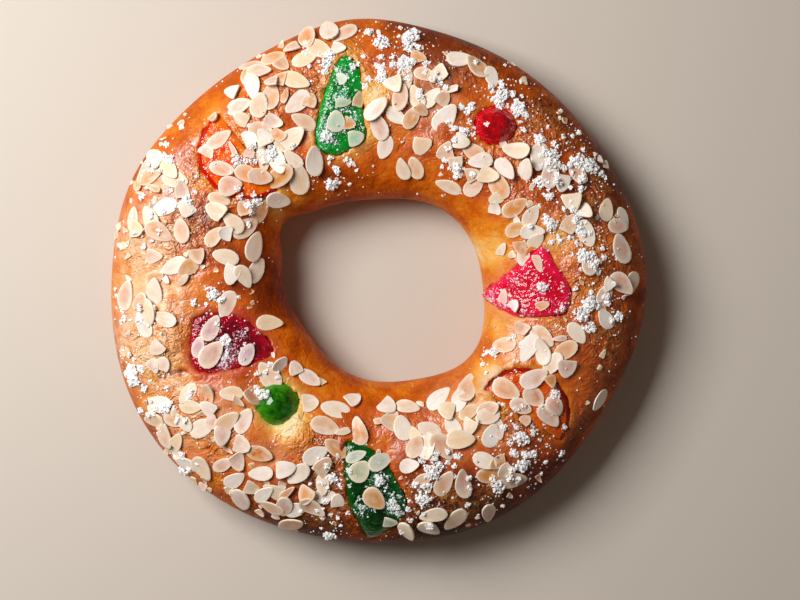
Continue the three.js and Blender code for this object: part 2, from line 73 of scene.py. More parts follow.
class Draw:
    """Repeatable draws between 0 and 1."""

    def __init__(self, seed: int) -> None:
        """Starts the row of draws that belongs to a seed."""
        self.state = seed & 0xFFFFFFFF

    def one(self) -> float:
        """The next draw."""
        self.state = (self.state * 1664525 + 1013904223) & 0xFFFFFFFF
        return self.state / 4294967296

    def bunched(self) -> float:
        """A draw that bunches round 0, with a spread of 1."""
        return 2 * (self.one() + self.one() + self.one() - 1.5)


def bell(away: Array, spread: float) -> Array:
    """A smooth bump of height 1 that falls off over a spread."""
    return np.exp(-0.5 * (away / spread) ** 2)


def ease(share: Array) -> Array:
    """A smooth step from 0 to 1 while the share runs from 0 to 1."""
    t = np.clip(share, 0, 1)
    return t * t * (3 - 2 * t)


def lumps_of(points: Array, size: float, seed: int) -> Array:
    """Smooth irregular bumps between about -1 and 1.

    Args:
        points: Places in millimetres, one row each.
        size: Distance between two bumps in millimetres.
        seed: Chooses another part of the pattern.

    Returns:
        One value for each point.
    """
    shift = Vector((17.3, 5.1, 9.7)) * seed
    return np.array([noise.noise(Vector(p) / size + shift) for p in points.tolist()])


def patches(x: Array, y: Array, spots: Sequence[Patch]) -> Array:
    """The strength of soft round patches at places in plan."""
    total = np.zeros(np.shape(x))
    for cx, cy, spread, strength in spots:
        total = total + strength * bell(np.hypot(x - cx, y - cy), spread)
    return total


def bumps(points: Array, layers: Layers) -> Array:
    """The height of layers of smooth bumps at places in millimetres."""
    return sum(height * lumps_of(points, size, seed) for size, height, seed in layers)


def unit(vectors: Array) -> Array:
    """Vectors of length 1 in the same directions."""
    return vectors / np.linalg.norm(vectors, axis=-1, keepdims=True)


def outline_distance(outline: Array, x: Array, y: Array) -> Array:
    """Distance in plan from places to a closed outline, below zero inside it.

    Args:
        outline: Corners of the outline, one row each.
        x: Places along X.
        y: Places along Y.

    Returns:
        One distance for each place.
    """
    side = np.roll(outline, -1, axis=0) - outline
    px = np.asarray(x, float)[..., None] - outline[:, 0]
    py = np.asarray(y, float)[..., None] - outline[:, 1]
    along = np.clip((px * side[:, 0] + py * side[:, 1]) / (side**2).sum(1), 0, 1)
    nearest = np.hypot(px - along * side[:, 0], py - along * side[:, 1]).min(-1)
    climb = np.where(side[:, 1] == 0, 1e-9, side[:, 1])
    passes = (py < 0) != (py < side[:, 1])
    inside = (passes & (px < py / climb * side[:, 0])).sum(-1) % 2 == 1
    return np.where(inside, -nearest, nearest)


def rounded(corners: Array, steps: int) -> Array:
    """A closed smooth curve through all corners.

    Args:
        corners: Corners of the outline, one row each.
        steps: Number of points from one corner to the next.

    Returns:
        The points of the curve, one row each.
    """
    before, after = np.roll(corners, 1, axis=0), np.roll(corners, -1, axis=0)
    beyond = np.roll(corners, -2, axis=0)
    bend = 2 * before - 5 * corners + 4 * after - beyond
    turn = 3 * corners - before - 3 * after + beyond
    rows = [
        0.5 * (2 * corners + (after - before) * t + bend * t**2 + turn * t**3)
        for t in np.arange(steps) / steps
    ]
    return np.stack(rows, axis=1).reshape(-1, 2)


def respaced(outline: Array, count: int) -> Array:
    """The same closed outline with evenly spaced points that run anticlockwise."""
    nxt = np.roll(outline, -1, axis=0)
    if (outline[:, 0] * nxt[:, 1] - nxt[:, 0] * outline[:, 1]).sum() < 0:
        outline = outline[::-1]
        nxt = np.roll(outline, -1, axis=0)
    travelled = np.concatenate([[0], np.cumsum(np.hypot(*(nxt - outline).T))])
    closed = np.vstack([outline, outline[:1]])
    wanted = np.arange(count) / count * travelled[-1]
    return np.stack([np.interp(wanted, travelled, closed[:, k]) for k in (0, 1)], axis=1)


# ------------------------------------------------------------------------------ mesh helpers


def select_nothing() -> None:
    """Deselects everything, so that an operator acts on the new piece alone."""
    bpy.ops.object.select_all(action="DESELECT")


def corners_of(piece: bpy.types.Object) -> Array:
    """The corners of a piece's mesh, one row each."""
    flat = np.empty(len(piece.data.vertices) * 3)
    piece.data.vertices.foreach_get("co", flat)
    return flat.reshape(-1, 3)


def move_corners(piece: bpy.types.Object, corners: Array) -> None:
    """Puts the corners of a piece's mesh at places given in millimetres."""
    piece.data.vertices.foreach_set("co", (corners * METRES).ravel())
    piece.data.update()


def note_values(piece: bpy.types.Object, name: str, values: Array) -> None:
    """Writes a number, a place or a colour for each corner of a mesh, for a material to read."""
    kinds = {1: ("FLOAT", "value"), 3: ("FLOAT_VECTOR", "vector"), 4: ("FLOAT_COLOR", "color")}
    kind, part = kinds[1 if values.ndim == 1 else values.shape[1]]
    attribute = piece.data.attributes.new(name, kind, "POINT")
    attribute.data.foreach_set(part, np.asarray(values, np.float32).ravel())


def smooth(piece: bpy.types.Object, degrees: float) -> None:
    """Smooths a piece over all edges that are blunter than an angle."""
    select_nothing()
    piece.select_set(True)
    bpy.context.view_layer.objects.active = piece
    bpy.ops.object.shade_smooth_by_angle(angle=math.radians(degrees))


def settle_in(
    piece: bpy.types.Object, slot: str, material: bpy.types.Material, nodes: Sequence[str]
) -> None:
    """Dresses a piece and lets it stand for the solids that it shows.

    Args:
        piece: The finished piece.
        slot: Not used.
        material: The finish.
        nodes: Names of the solids that the piece replaces.
    """
    piece.data.materials.clear()
    piece.data.materials.append(material)
    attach(piece, "root")
    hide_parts(*nodes)
    LOG.info("%s: %d faces", piece.name, len(piece.data.polygons))


@dataclass
class Pattern:
    """A small shape that is modelled once and copied many times."""

    corners: Array
    faces: list[tuple[int, ...]]
    extra: dict[str, Array] = field(default_factory=dict)

    @classmethod
    def take(cls, piece: bpy.types.Object) -> "Pattern":
        """Reads a modelled piece and removes it from the scene."""
        faces = [tuple(face.vertices) for face in piece.data.polygons]
        pattern = cls(corners_of(piece), faces)
        mesh = piece.data
        bpy.data.objects.remove(piece)
        bpy.data.meshes.remove(mesh)
        return pattern


class Heap:
    """Many copies of small patterns, which become one joined mesh."""

    def __init__(self) -> None:
        """Starts with no copies."""
        self.corners: list[Array] = []
        self.faces: list[tuple[int, ...]] = []
        self.notes: dict[str, list[Array]] = {}
        self.count = 0

    def add(self, pattern: Pattern, corners: Array, notes: dict[str, Array]) -> None:
        """Adds a copy.

        Args:
            pattern: The pattern that is copied.
            corners: The copy's corners in place, in millimetres.
            notes: Values for its corners, by name, the same names for each copy.
        """
        start = self.count
        self.faces.extend(tuple(start + i for i in face) for face in pattern.faces)
        self.corners.append(corners)
        self.count += len(corners)
        for name, value in notes.items():
            alike = np.ndim(value) == 0 or len(value) != len(corners)
            rows = np.array([value] * len(corners)) if alike else value
            self.notes.setdefault(name, []).append(rows)

    def piece(self, name: str) -> bpy.types.Object:
        """Joins all copies into one new piece with that name."""
        mesh = bpy.data.meshes.new(name)
        mesh.from_pydata((np.vstack(self.corners) * METRES).tolist(), [], self.faces)
        piece = bpy.data.objects.new(name, mesh)
        bpy.context.scene.collection.objects.link(piece)
        for note, values in self.notes.items():
            note_values(piece, note, np.concatenate(values))
        return piece


def seated(corners: Array, point: Array, normal: Array, bearing: float) -> Array:
    """Turns and moves corners so that their z stands on a surface and x points along a bearing.

    Args:
        corners: Corners round their own middle, in millimetres.
        point: The place on the surface.
        normal: The surface's outward direction there.
        bearing: Direction of the corners' x in plan, in radians.

    Returns:
        The corners in place.
    """
    across = unit(np.cross(normal, [math.cos(bearing), math.sin(bearing), 0]))
    along = np.cross(across, normal)
    return corners @ np.stack([along, across, normal]) + point


# ---------------------------------------------------------------------------- forms in plan


class Cut(Enum):
    """How a candied fruit was cut."""

    PIECE = "a piece cut with a knife"
    HALF_SLICE = "half of a round slice"
    CHERRY = "a whole cherry"


@dataclass(frozen=True)
class RoundProfile:
    """A radius or height round the ring: its mean, and where it swells or draws in.

    Each swell is (direction in degrees, spread in degrees, rise in millimetres).
    """

    mean: float
    swells: tuple[tuple[float, float, float], ...]

    def at(self, degrees: Array) -> Array:
        """The value in one direction, or in many."""
        value = np.full(np.shape(degrees), self.mean)
        for centre, spread, rise in self.swells:
            away = (degrees - centre + 180) % 360 - 180
            value = value + rise * bell(away, spread)
        return value


@dataclass(frozen=True)
class Topping:
    """A flaked almond on a fruit: its place, length, width and bearing in degrees."""

    x: float
    y: float
    length: float
    width: float
    degrees: float


@dataclass
class Fruit:
    """One candied fruit pressed into the crown.

    Attributes:
        name: Name of its solid and, with an ending, of its piece.
        slot: The slot for its finish.
        cut: How it was cut.
        corners: Corners of its outline, empty for a slice or a cherry.
        centre: Centre of a slice or cherry.
        radius: Radius of a slice or cherry.
        bearing: Direction in degrees in which a half slice bulges.
        stretch: Length of a cherry along Y for each unit along X.
        rise: How far it stands above the crust.
        roll: Width of its rounded rim.
        dent: Depth of the hollow that it made in the dough.
        depth: Its own thickness below the crust.
        shows: Its colour where it shows through what lies on it.
        syrup: Colour of the dough that soaked up its syrup.
        soaked: How much syrup the dough round it soaked up, from 0 to 1.
        flakes: Almonds on it, the lowest first.
        slivers: Thinner and smaller almonds on it, which the solids leave out.
        lumps: Lumps of sugar on it, as (x, y, radius).
        frost: Sugared spots on it, as (x, y, spread, strength).
        dusting: Strength of the sugar all over it.
        wrinkle: Height of the wrinkles of its skin.
    """

    name: str
    slot: str
    cut: Cut
    rise: float
    roll: float
    dent: float
    depth: float
    corners: tuple[Place, ...] = ()
    centre: Place = (0.0, 0.0)
    radius: float = 0.0
    bearing: float = 0.0
    stretch: float = 1.0
    shows: str = "d08a60"
    syrup: str = "b8702c"
    soaked: float = 0.0
    flakes: tuple[Topping, ...] = ()
    slivers: tuple[Topping, ...] = ()
    lumps: tuple[Spot, ...] = ()
    frost: tuple[Patch, ...] = ()
    dusting: float = 0.02
    wrinkle: float = 0.25

    def __post_init__(self) -> None:
        """Works out the outline, its middle and its spread."""
        self.edge = self.coarse_edge()
        self.middle = self.edge.mean(0)
        self.spread = float(np.hypot(*(self.edge - self.middle).T).mean())
        self.reach = float(np.hypot(*(self.edge - self.middle).T).max())

    def arc(self, steps: int) -> Array:
        """The round edge of a half slice, from one end of the straight cut to the other."""
        turn = np.radians(self.bearing - 90 + 180 * np.arange(steps + 1) / steps)
        return np.stack([np.cos(turn), np.sin(turn)], 1) * self.radius + self.centre

    def round(self, steps: int) -> Array:
        """The round edge of a cherry."""
        turn = 2 * np.pi * np.arange(steps) / steps
        rim = np.stack([np.cos(turn), self.stretch * np.sin(turn)], 1)
        return rim * self.radius + self.centre

    def coarse_edge(self) -> Array:
        """The outline that the solid has."""
        if self.cut is Cut.HALF_SLICE:
            return self.arc(14)
        if self.cut is Cut.CHERRY:
            return self.round(14)
        return rounded(np.array(self.corners), 2)

    def fine_edge(self, count: int) -> Array:
        """The same outline, smooth, with evenly spaced points."""
        if self.cut is Cut.HALF_SLICE:
            return respaced(self.arc(90), count)
        if self.cut is Cut.CHERRY:
            return respaced(self.round(96), count)
        corners = np.array(self.corners)
        after = np.roll(corners, -1, axis=0)
        straight = [corners + (after - corners) * t for t in np.arange(12) / 12]
        straight = np.stack(straight, axis=1).reshape(-1, 2)
        return respaced(0.5 * rounded(corners, 12) + 0.5 * straight, count)

    def distance(self, x: Array, y: Array) -> Array:
        """Distance in plan from places to the fruit's outline, below zero inside it."""
        return outline_distance(self.edge, x, y)

    def near(self, points: Array, margin: float) -> Array:
        """Whether points may lie within a margin of the fruit."""
        return np.hypot(*(points[:, :2] - self.middle).T) < self.reach + margin


# --------------------------------------------------------------------------------- the dough


@dataclass(frozen=True)
class Crease:
    """A fold or split of the crust, from one place to another."""

    start: Place
    end: Place
    width: float
    depth: float

    def depth_at(self, x: Array, y: Array) -> Array:
        """How deep the crease is at places in plan."""
        (ax, ay), (bx, by) = self.start, self.end
        length = (bx - ax) ** 2 + (by - ay) ** 2
        along = np.clip(((x - ax) * (bx - ax) + (y - ay) * (by - ay)) / length, 0, 1)
        away = np.hypot(x - ax - along * (bx - ax), y - ay - along * (by - ay))
        taper = 1 - 0.7 * np.abs(2 * along - 1) ** 3
        return self.depth * taper * bell(away, self.width)


@dataclass
class Dough:
    """The form of the risen ring, which everything else lies on."""

    fruits: list[Fruit]
    outer: RoundProfile = RoundProfile(
        141.9,
        ((-147, 30, 11), (96, 10, 4.4), (-1, 16, 7.3), (-63, 19, 5.5), (158, 12, 4.5)),
    )
    hole: RoundProfile = RoundProfile(
        56.7, ((149, 8, 7.7), (-38, 18, 9.3), (93, 30, -11.2), (-145, 25, -7.5))
    )
    crown: RoundProfile = RoundProfile(49.5, ((-150, 40, 2.5), (95, 22, -1.5), (-20, 28, 1.2)))
    swells: tuple[Patch, ...] = (
        (0, 92, 8, 3), (-40, 60, 9, 2), (-42, -84, 9, 3.5), (-66, -82, 8, 2.5),
        (-116, -32, 9, 2.5), (-83, -62, 10, 2), (-70, 8, 14, 2), (56, -52, 8, 2.5),
        (104, -46, 10, 2.5), (112, 8, 10, 2.5), (76, 40, 12, 2), (44, -100, 16, 1.5),
        (22, -98, 9, 2),
    )

    def ring_at(self, x: Array, y: Array) -> tuple[Array, Array, Array]:
        """The ring's middle radius, half width and crown height in the direction of places."""
        degrees = np.degrees(np.arctan2(y, x))
        outer, hole = self.outer.at(degrees), self.hole.at(degrees)
        return (outer + hole) / 2, (outer - hole) / 2, self.crown.at(degrees)

    def across(self, x: Array, y: Array) -> Array:
        """Where places lie across the ring: -1 at the hole, 0 on the crown, 1 outside."""
        middle, half, _ = self.ring_at(x, y)
        return (np.hypot(x, y) - middle) / half

    def dome(self, x: Array, y: Array, limit: float = STEEPEST_SEAT) -> Array:
        """Height of the smooth ring, on a straight slope past the limit across."""
        middle, half, crown = self.ring_at(x, y)
        across = np.abs(np.hypot(x, y) - middle) / half
        t = np.minimum(across, limit)
        rest = 1 - t**TOP_FULLNESS
        height = rest ** (1 / TOP_FULLNESS)
        slope = -(rest ** (1 / TOP_FULLNESS - 1)) * t ** (TOP_FULLNESS - 1)
        return BELLY_HEIGHT + (crown - BELLY_HEIGHT) * (height + slope * (across - t))

    def relief(self, x: Array, y: Array) -> Array:
        """Puffs and dips of the top crust, with the hollow that each fruit made."""
        height = patches(x, y, self.swells)
        for fruit in self.fruits:
            away = np.hypot(x - fruit.middle[0], y - fruit.middle[1])
            height = height - fruit.dent * bell(away, fruit.spread)
        return height

    def crust(self, angle: Array, turn: Array) -> Array:
        """Points of the crust.

        Args:
            angle: Direction round the ring in radians.
            turn: From 0 at the outer belly over the crown to pi at the hole.

        Returns:
            One row for each point.
        """
        middle, half, crown = self.ring_at(np.cos(angle), np.sin(angle))
        up = np.maximum(0, np.sin(turn)) ** (2 / TOP_FULLNESS)
        across = np.sign(np.cos(turn)) * np.abs(np.cos(turn)) ** (2 / TOP_FULLNESS)
        radius = middle + half * across
        x, y = radius * np.cos(angle), radius * np.sin(angle)
        z = BELLY_HEIGHT + (crown - BELLY_HEIGHT) * up + self.relief(x, y) * up**2
        return np.stack([x, y, z], -1)

    def frames(self, x: Array, y: Array) -> tuple[Array, Array]:
        """Points of the crust above or beside places in plan, and the outward directions."""
        angle, across = np.arctan2(y, x), np.clip(self.across(x, y), -0.999, 0.999)
        turn = np.arccos(np.sign(across) * np.abs(across) ** (TOP_FULLNESS / 2))
        step = 0.02  # radians to either side, for the slope
        along = self.crust(angle + step, turn) - self.crust(angle - step, turn)
        over = self.crust(angle, turn - step) - self.crust(angle, turn + step)
        return self.crust(angle, turn), unit(np.cross(over, along))

    def fruit_top(self, fruit: Fruit, x: Array, y: Array) -> Array:
        """Height of a fruit's top, which rounds off towards its rim."""
        short = 1 - np.clip(-fruit.distance(x, y) / fruit.roll, 0, 1)
        return self.dome(x, y) - fruit.dent / 2 + fruit.rise * (1 - short**2)

    def fruit_frames(self, fruit: Fruit, x: Array, y: Array) -> tuple[Array, Array]:
        """Points on a fruit above places in plan, and its outward directions there."""
        step = 1.5  # millimetres to either side, for the slope
        top = self.fruit_top
        slope_x = (top(fruit, x + step, y) - top(fruit, x - step, y)) / (2 * step)
        slope_y = (top(fruit, x, y + step) - top(fruit, x, y - step)) / (2 * step)
        normal = unit(np.stack([-slope_x, -slope_y, np.ones(np.shape(x))], -1))
        return np.stack([x, y, top(fruit, x, y)], -1), normal

    def is_free(self, x: float, y: float, band: Place, margin: float) -> bool:
        """True if a place is on the topped part of the crust and off every fruit by a margin."""
        if not band[0] <= self.across(x, y) <= band[1]:
            return False
        return all(fruit.distance(x, y) > margin for fruit in self.fruits)


@dataclass
class BreadRing:
    """The baked ring itself, with its glazed crust and its flat underside.

    Patches are (x, y, spread, strength) in millimetres. The steps of a section add up to a
    multiple of four, so that each corner of the plain circle falls on a step.
    """

    dough: Dough
    around: int = 600  # sections round the ring
    over: int = 128  # steps over the top of a section
    side: int = 8  # steps from the belly down to the tray, on each side
    flat: int = 20  # steps across the underside
    blank_radius: float = 0.1  # of the plain ring that is shaped, in metres
    blank_thickness: float = 0.04
    puffs: Layers = ((17, 0.85, 1), (7, 0.5, 2))  # how the dough rose
    grain: Layers = ((3.8, 0.5, 3), (2, 0.22, 9))  # of the skin
    folds: Layers = ((7.5, 1, 13),)  # the skin folds where this is near 0
    fold_width: float = 0.07
    fold_depth: float = 0.8
    loose_skin: Layers = ((34, 2.5, 14),)  # where there are folds at all
    rough_skin: Layers = ((30, 1.6, 18),)
    lip: float = 0.45  # how far the dough stands up round each fruit
    lips: Layers = ((8, 1.3, 17),)
    lip_width: float = 1.7
    torn: float = 1.3  # how unevenly it meets the fruit
    tears: Layers = ((5.5, 1, 15), (2.4, 0.6, 16))
    sheen_breakup: Layers = ((6, 1.2, 21), (2.5, 0.8, 22))  # how unevenly the painted sheen is broken up
    soak: Layers = ((9, 3, 19),)  # how unevenly syrup spread
    soak_reach: float = 7.5
    baked: float = 0.5  # browning low on the sides
    crown_bake: float = 0.07  # how much more the crown browned
    outer_bake: float = 0.05  # how much more the outer side browned
    moist_rim: float = 0.12  # how much less the dough browned that touches a fruit
    uneven_bake: Layers = ((26, 0.11, 5), (9, 0.09, 6))
    creases: tuple[Crease, ...] = (
        Crease((-119, -53), (-104, -49), 0.9, 2.6),  # the split outside the purple slice
        Crease((-50, 34), (-66, 47), 2.6, 2.6),  # the fold at the corner of the hole
        Crease((54, -33), (68, -39), 2.2, 1.6),
        Crease((-121, -30), (-117, -44), 1.0, 0.8),
        Crease((-114, -26), (-112, -40), 0.9, 0.9),
        Crease((-125, -36), (-122, -50), 0.8, 0.6),
        Crease((-30, -78), (-38, -96), 2.4, 1.2),
        Crease((-55, -92), (-62, -104), 2.2, 1.1),
        Crease((6, 112), (20, 106), 1.8, 1.0),
        Crease((100, 24), (113, 20), 1.6, 0.9),
    )
    pale: tuple[Patch, ...] = (
        (0, 101, 6, 0.5), (-32, 67, 5, 0.08), (-50, -80, 6, 0.45), (-57, -50, 6, 0.16),
        (-118, -40, 10, 0.3), (-100, 0, 12, 0.2), (60, -53, 6, 0.5), (64, -22, 7, 0.2),
        (96, 24, 8, 0.3), (56, 16, 9, 0.4), (-98, 51, 6, 0.3), (-60, 45, 7, 0.4),
        (-40, -72, 8, 0.2), (-96, 86, 10, 0.15), (-128, -6, 12, 0.2), (50, -76, 12, 0.25),
        (86, -34, 12, 0.2), (-104, -64, 14, 0.1), (-60, -94, 14, 0.08), (-124, -46, 15, 0.12),
        (-100, -90, 14, 0.12), (-136, 4, 14, 0.09), (56, 100, 10, 0.09), (-12, 74, 8, 0.18),
        (68, 26, 9, 0.1), (20, -94, 9, 0.1), (50, -85, 8, 0.07),
    )
    # darker: partly deeper browning, partly painted shade on sides facing away from the light
    dark: tuple[Patch, ...] = (
        (-69, 9, 13, 0.12), (-58, -12, 12, 0.18), (-95, 40, 11, 0.25), (-40, -136, 22, 0.3),
        (112, -90, 20, 0.06), (142, -4, 18, 0.09), (-18, -101, 12, 0.22), (-90, 74, 10, 0.16),
        (-96, 2, 9, 0.08), (80, 94, 10, 0.22), (40, 132, 22, 0.26), (126, 62, 22, 0.2),
        (76, -126, 26, 0.3), (20, -136, 24, 0.32), (-14, 56, 12, 0.12), (128, -40, 18, 0.1),
        (60, 58, 12, 0.1),
    )
    painted_sheen: tuple[Patch, ...] = (  # painted sheen: pale peach patches where the glaze's broad highlight falls
        (-126, 22, 12, 0.8), (-122, -4, 11, 0.65), (-128, -30, 13, 0.85), (-114, 48, 9, 0.55),
        (-112, -60, 12, 0.5), (-96, -84, 12, 0.35), (-58, -94, 11, 0.25), (-80, -68, 9, 0.25),
        (50, -75, 12, 0.4), (84, -34, 11, 0.35), (26, 98, 12, 0.3), (104, 27, 8, 0.35),
    )
    # colour of the painted sheen
    sheen_colour: str = "f6caa6"

    @property
    def total(self) -> int:
        """Number of steps all round a section."""
        return self.over + 2 * self.side + self.flat

    def section(self, steps: Array) -> tuple[Array, Array, Array]:
        """Splits the steps round a section into its top, its two sides and its foot.

        Args:
            steps: Number of each corner round its section.

        Returns:
            The turn over the top, the share down a side, and the place across the underside
            from -1 at the hole to 1 outside, each one NaN where it doesn't hold.
        """
        hole_foot, outer_foot = self.over + self.side, self.total - self.side
        turn = np.where(steps <= self.over, np.pi * steps / self.over, np.nan)
        hole_side = (steps > self.over) & (steps <= hole_foot)
        outer_side = steps >= outer_foot
        share = np.where(hole_side, -(steps - self.over) / self.side, np.nan)
        share = np.where(outer_side, (self.total - steps) / self.side, share)
        under = (steps > hole_foot) & (steps < outer_foot)
        place = np.where(under, 2 * (steps - hole_foot) / self.flat - 1, np.nan)
        return turn, share, place

    def corners(self, angle: Array, steps: Array) -> tuple[Array, Array]:
        """Places of all corners, and how much each belongs to the top crust."""
        turn, share, place = self.section(steps)
        points = self.dough.crust(angle, np.nan_to_num(turn))
        foot_turn = math.asin((BELLY_HEIGHT / UNDER_DEPTH) ** (UNDER_FULLNESS / 2))
        middle, half, _ = self.dough.ring_at(np.cos(angle), np.sin(angle))
        down = foot_turn * np.abs(np.nan_to_num(share))
        reach = half * np.cos(down) ** (2 / UNDER_FULLNESS)
        radius = middle + np.sign(np.nan_to_num(share)) * reach
        foot = half * math.cos(foot_turn) ** (2 / UNDER_FULLNESS)
        radius = np.where(np.isnan(place), radius, middle + foot * np.nan_to_num(place))
        z = BELLY_HEIGHT - UNDER_DEPTH * np.sin(down) ** (2 / UNDER_FULLNESS)
        z = np.where(np.isnan(place) & (np.abs(share) < 1), z, 0)
        low = np.stack([radius * np.cos(angle), radius * np.sin(angle), z], -1)
        top = ~np.isnan(turn)
        return np.where(top[:, None], points, low), top * np.sin(np.nan_to_num(turn))

    def shape(self, points: Array, top: Array) -> Array:
        """Lowers and raises the crust for its creases, seats and small unevenness.

        Args:
            points: Corners of the smooth crust.
            top: How much each corner belongs to the top, from 0 to 1.

        Returns:
            How far each corner moves up.
        """
        x, y = points[:, 0], points[:, 1]
        folds = bell(bumps(points, self.folds), self.fold_width)
        folds *= self.fold_depth * ease(0.5 + bumps(points, self.loose_skin))
        skin = (bumps(points, self.grain) - folds) * self.skin(points)
        rise = (bumps(points, self.puffs) + skin) * np.minimum(1, 2.5 * top)
        for crease in self.creases:
            rise -= crease.depth_at(x, y) * ease(2 * top)
        for fruit in self.dough.fruits:
            near = fruit.near(points, 12) & (top > 0)
            away = fruit.distance(x[near], y[near]) + self.torn * bumps(points[near], self.tears)
            seat = -0.6 * fruit.depth * ease((0.3 - away) / 1.4)
            lip = self.lip * (1 + bumps(points[near], self.lips))
            rise[near] += seat + lip * bell(away - self.lip_width, self.lip_width)
        return rise

    def skin(self, points: Array) -> Array:
        """How wrinkled the crust is, from 0 where it is smooth to 1."""
        across = np.abs(self.dough.across(points[:, 0], points[:, 1]) - 0.2)
        patchy = ease(0.55 + bumps(points, self.rough_skin))
        return 0.22 + 0.78 * ease((0.85 - across) / 0.45) * patchy

    def syrup(self, points: Array) -> Array:
        """Colour of the painted sheen and of soaked-in syrup, with the amount as alpha."""
        x, y = points[:, 0], points[:, 1]
        # pale peach painted sheen, replaced by the syrup round each fruit where that is wetter
        sheen_and_syrup = np.tile(linear(self.sheen_colour), (len(points), 1))
        sheen_and_syrup[:, 3] = patches(x, y, self.painted_sheen)
        uneven = 1 + bumps(points, self.sheen_breakup)
        sheen_and_syrup[:, 3] = np.clip(sheen_and_syrup[:, 3] * uneven, 0, 0.8) * (points[:, 2] > 10)
        for fruit in self.dough.fruits:
            near = fruit.near(points, 10)
            away = fruit.distance(*points[near, :2].T) + bumps(points[near], self.soak)
            soaked = fruit.soaked * ease(1 - away / self.soak_reach)
            wetter = soaked > sheen_and_syrup[near, 3]
            rows = np.flatnonzero(near)[wetter]
            sheen_and_syrup[rows, :3] = linear(fruit.syrup)[:3]
            sheen_and_syrup[rows, 3] = soaked[wetter]
        return sheen_and_syrup

    def browning_and_shade(self, points: Array, top: Array) -> Array:
        """Browning with painted shade added, from 0 for pale dough to 1 for dark crust."""
        x, y = points[:, 0], points[:, 1]
        across = self.dough.across(x, y)
        level = self.baked + self.crown_bake * ease(points[:, 2] / 45)
        level += self.outer_bake * ease((across - 0.5) / 0.5)
        # the dark patches add painted shade as well as deeper browning
        level += patches(x, y, self.dark) - patches(x, y, self.pale)
        for fruit in self.dough.fruits:
            near = fruit.near(points, 14)
            away = fruit.distance(x[near], y[near])
            level[near] -= self.moist_rim * bell(np.maximum(away, 0), 3.5) * (top[near] > 0)
        # painted shade in the split outside the purple slice
        level += 0.35 * self.creases[0].depth_at(x, y) * (top > 0)
        level += bumps(points, self.uneven_bake)
        return np.clip(level, 0.03, 1)

    def blank(self) -> bpy.types.Object:
        """Turns a circle round the axis, which gives a plain ring to shape."""
        select_nothing()
        bpy.ops.mesh.primitive_circle_add(vertices=self.total, radius=self.blank_thickness)
        ring = bpy.context.object
        ring.name = "crust"
        flat = corners_of(ring)
        upright = [flat[:, 0] + self.blank_radius, 0 * flat[:, 0], flat[:, 1]]
        move_corners(ring, np.stack(upright, 1) / METRES)
        bpy.ops.object.mode_set(mode="EDIT")
        bpy.ops.mesh.select_all(action="SELECT")
        bpy.ops.mesh.spin(steps=self.around, angle=2 * math.pi, center=(0, 0, 0), axis=(0, 0, 1))
        bpy.ops.mesh.select_all(action="SELECT")
        bpy.ops.mesh.remove_doubles(threshold=0.00001)
        bpy.ops.mesh.normals_make_consistent(inside=False)
        bpy.ops.object.mode_set(mode="OBJECT")
        return ring

    def build(self, finish: "Finish") -> bpy.types.Object:
        """Models and dresses the ring.

        Args:
            finish: The crust's finish.

        Returns:
            The finished piece.
        """
        ring = self.blank()
        place = corners_of(ring)
        angle = np.arctan2(place[:, 1], place[:, 0])
        turn = np.arctan2(place[:, 2], np.hypot(place[:, 0], place[:, 1]) - self.blank_radius)
        steps = np.rint(turn / (2 * np.pi) * self.total).astype(int) % self.total
        points, top = self.corners(angle, steps)
        points[:, 2] += self.shape(points, top)
        move_corners(ring, points)
        browning_and_shade = self.browning_and_shade(points, top)
        brushed = ease((top - 0.55) / 0.35)  # the brush reached no further down
        for name, values in {
            "skin": self.skin(points),
            "glazed": brushed * (0.3 + 0.7 * ease(3 * browning_and_shade - 0.6)),
            "browning_and_shade": browning_and_shade,
            # the syrup attribute carries the painted sheen as well as the soaked syrup
            "syrup": self.syrup(points),
            "underside": ease((6 - points[:, 2]) / 6),
        }.items():
            note_values(ring, name, values)
        bpy.ops.object.shade_smooth()
        settle_in(ring, "crust", finish.material(), ["bread_ring"])
        return ring


# ---------------------------------------------------------------------------- candied fruit


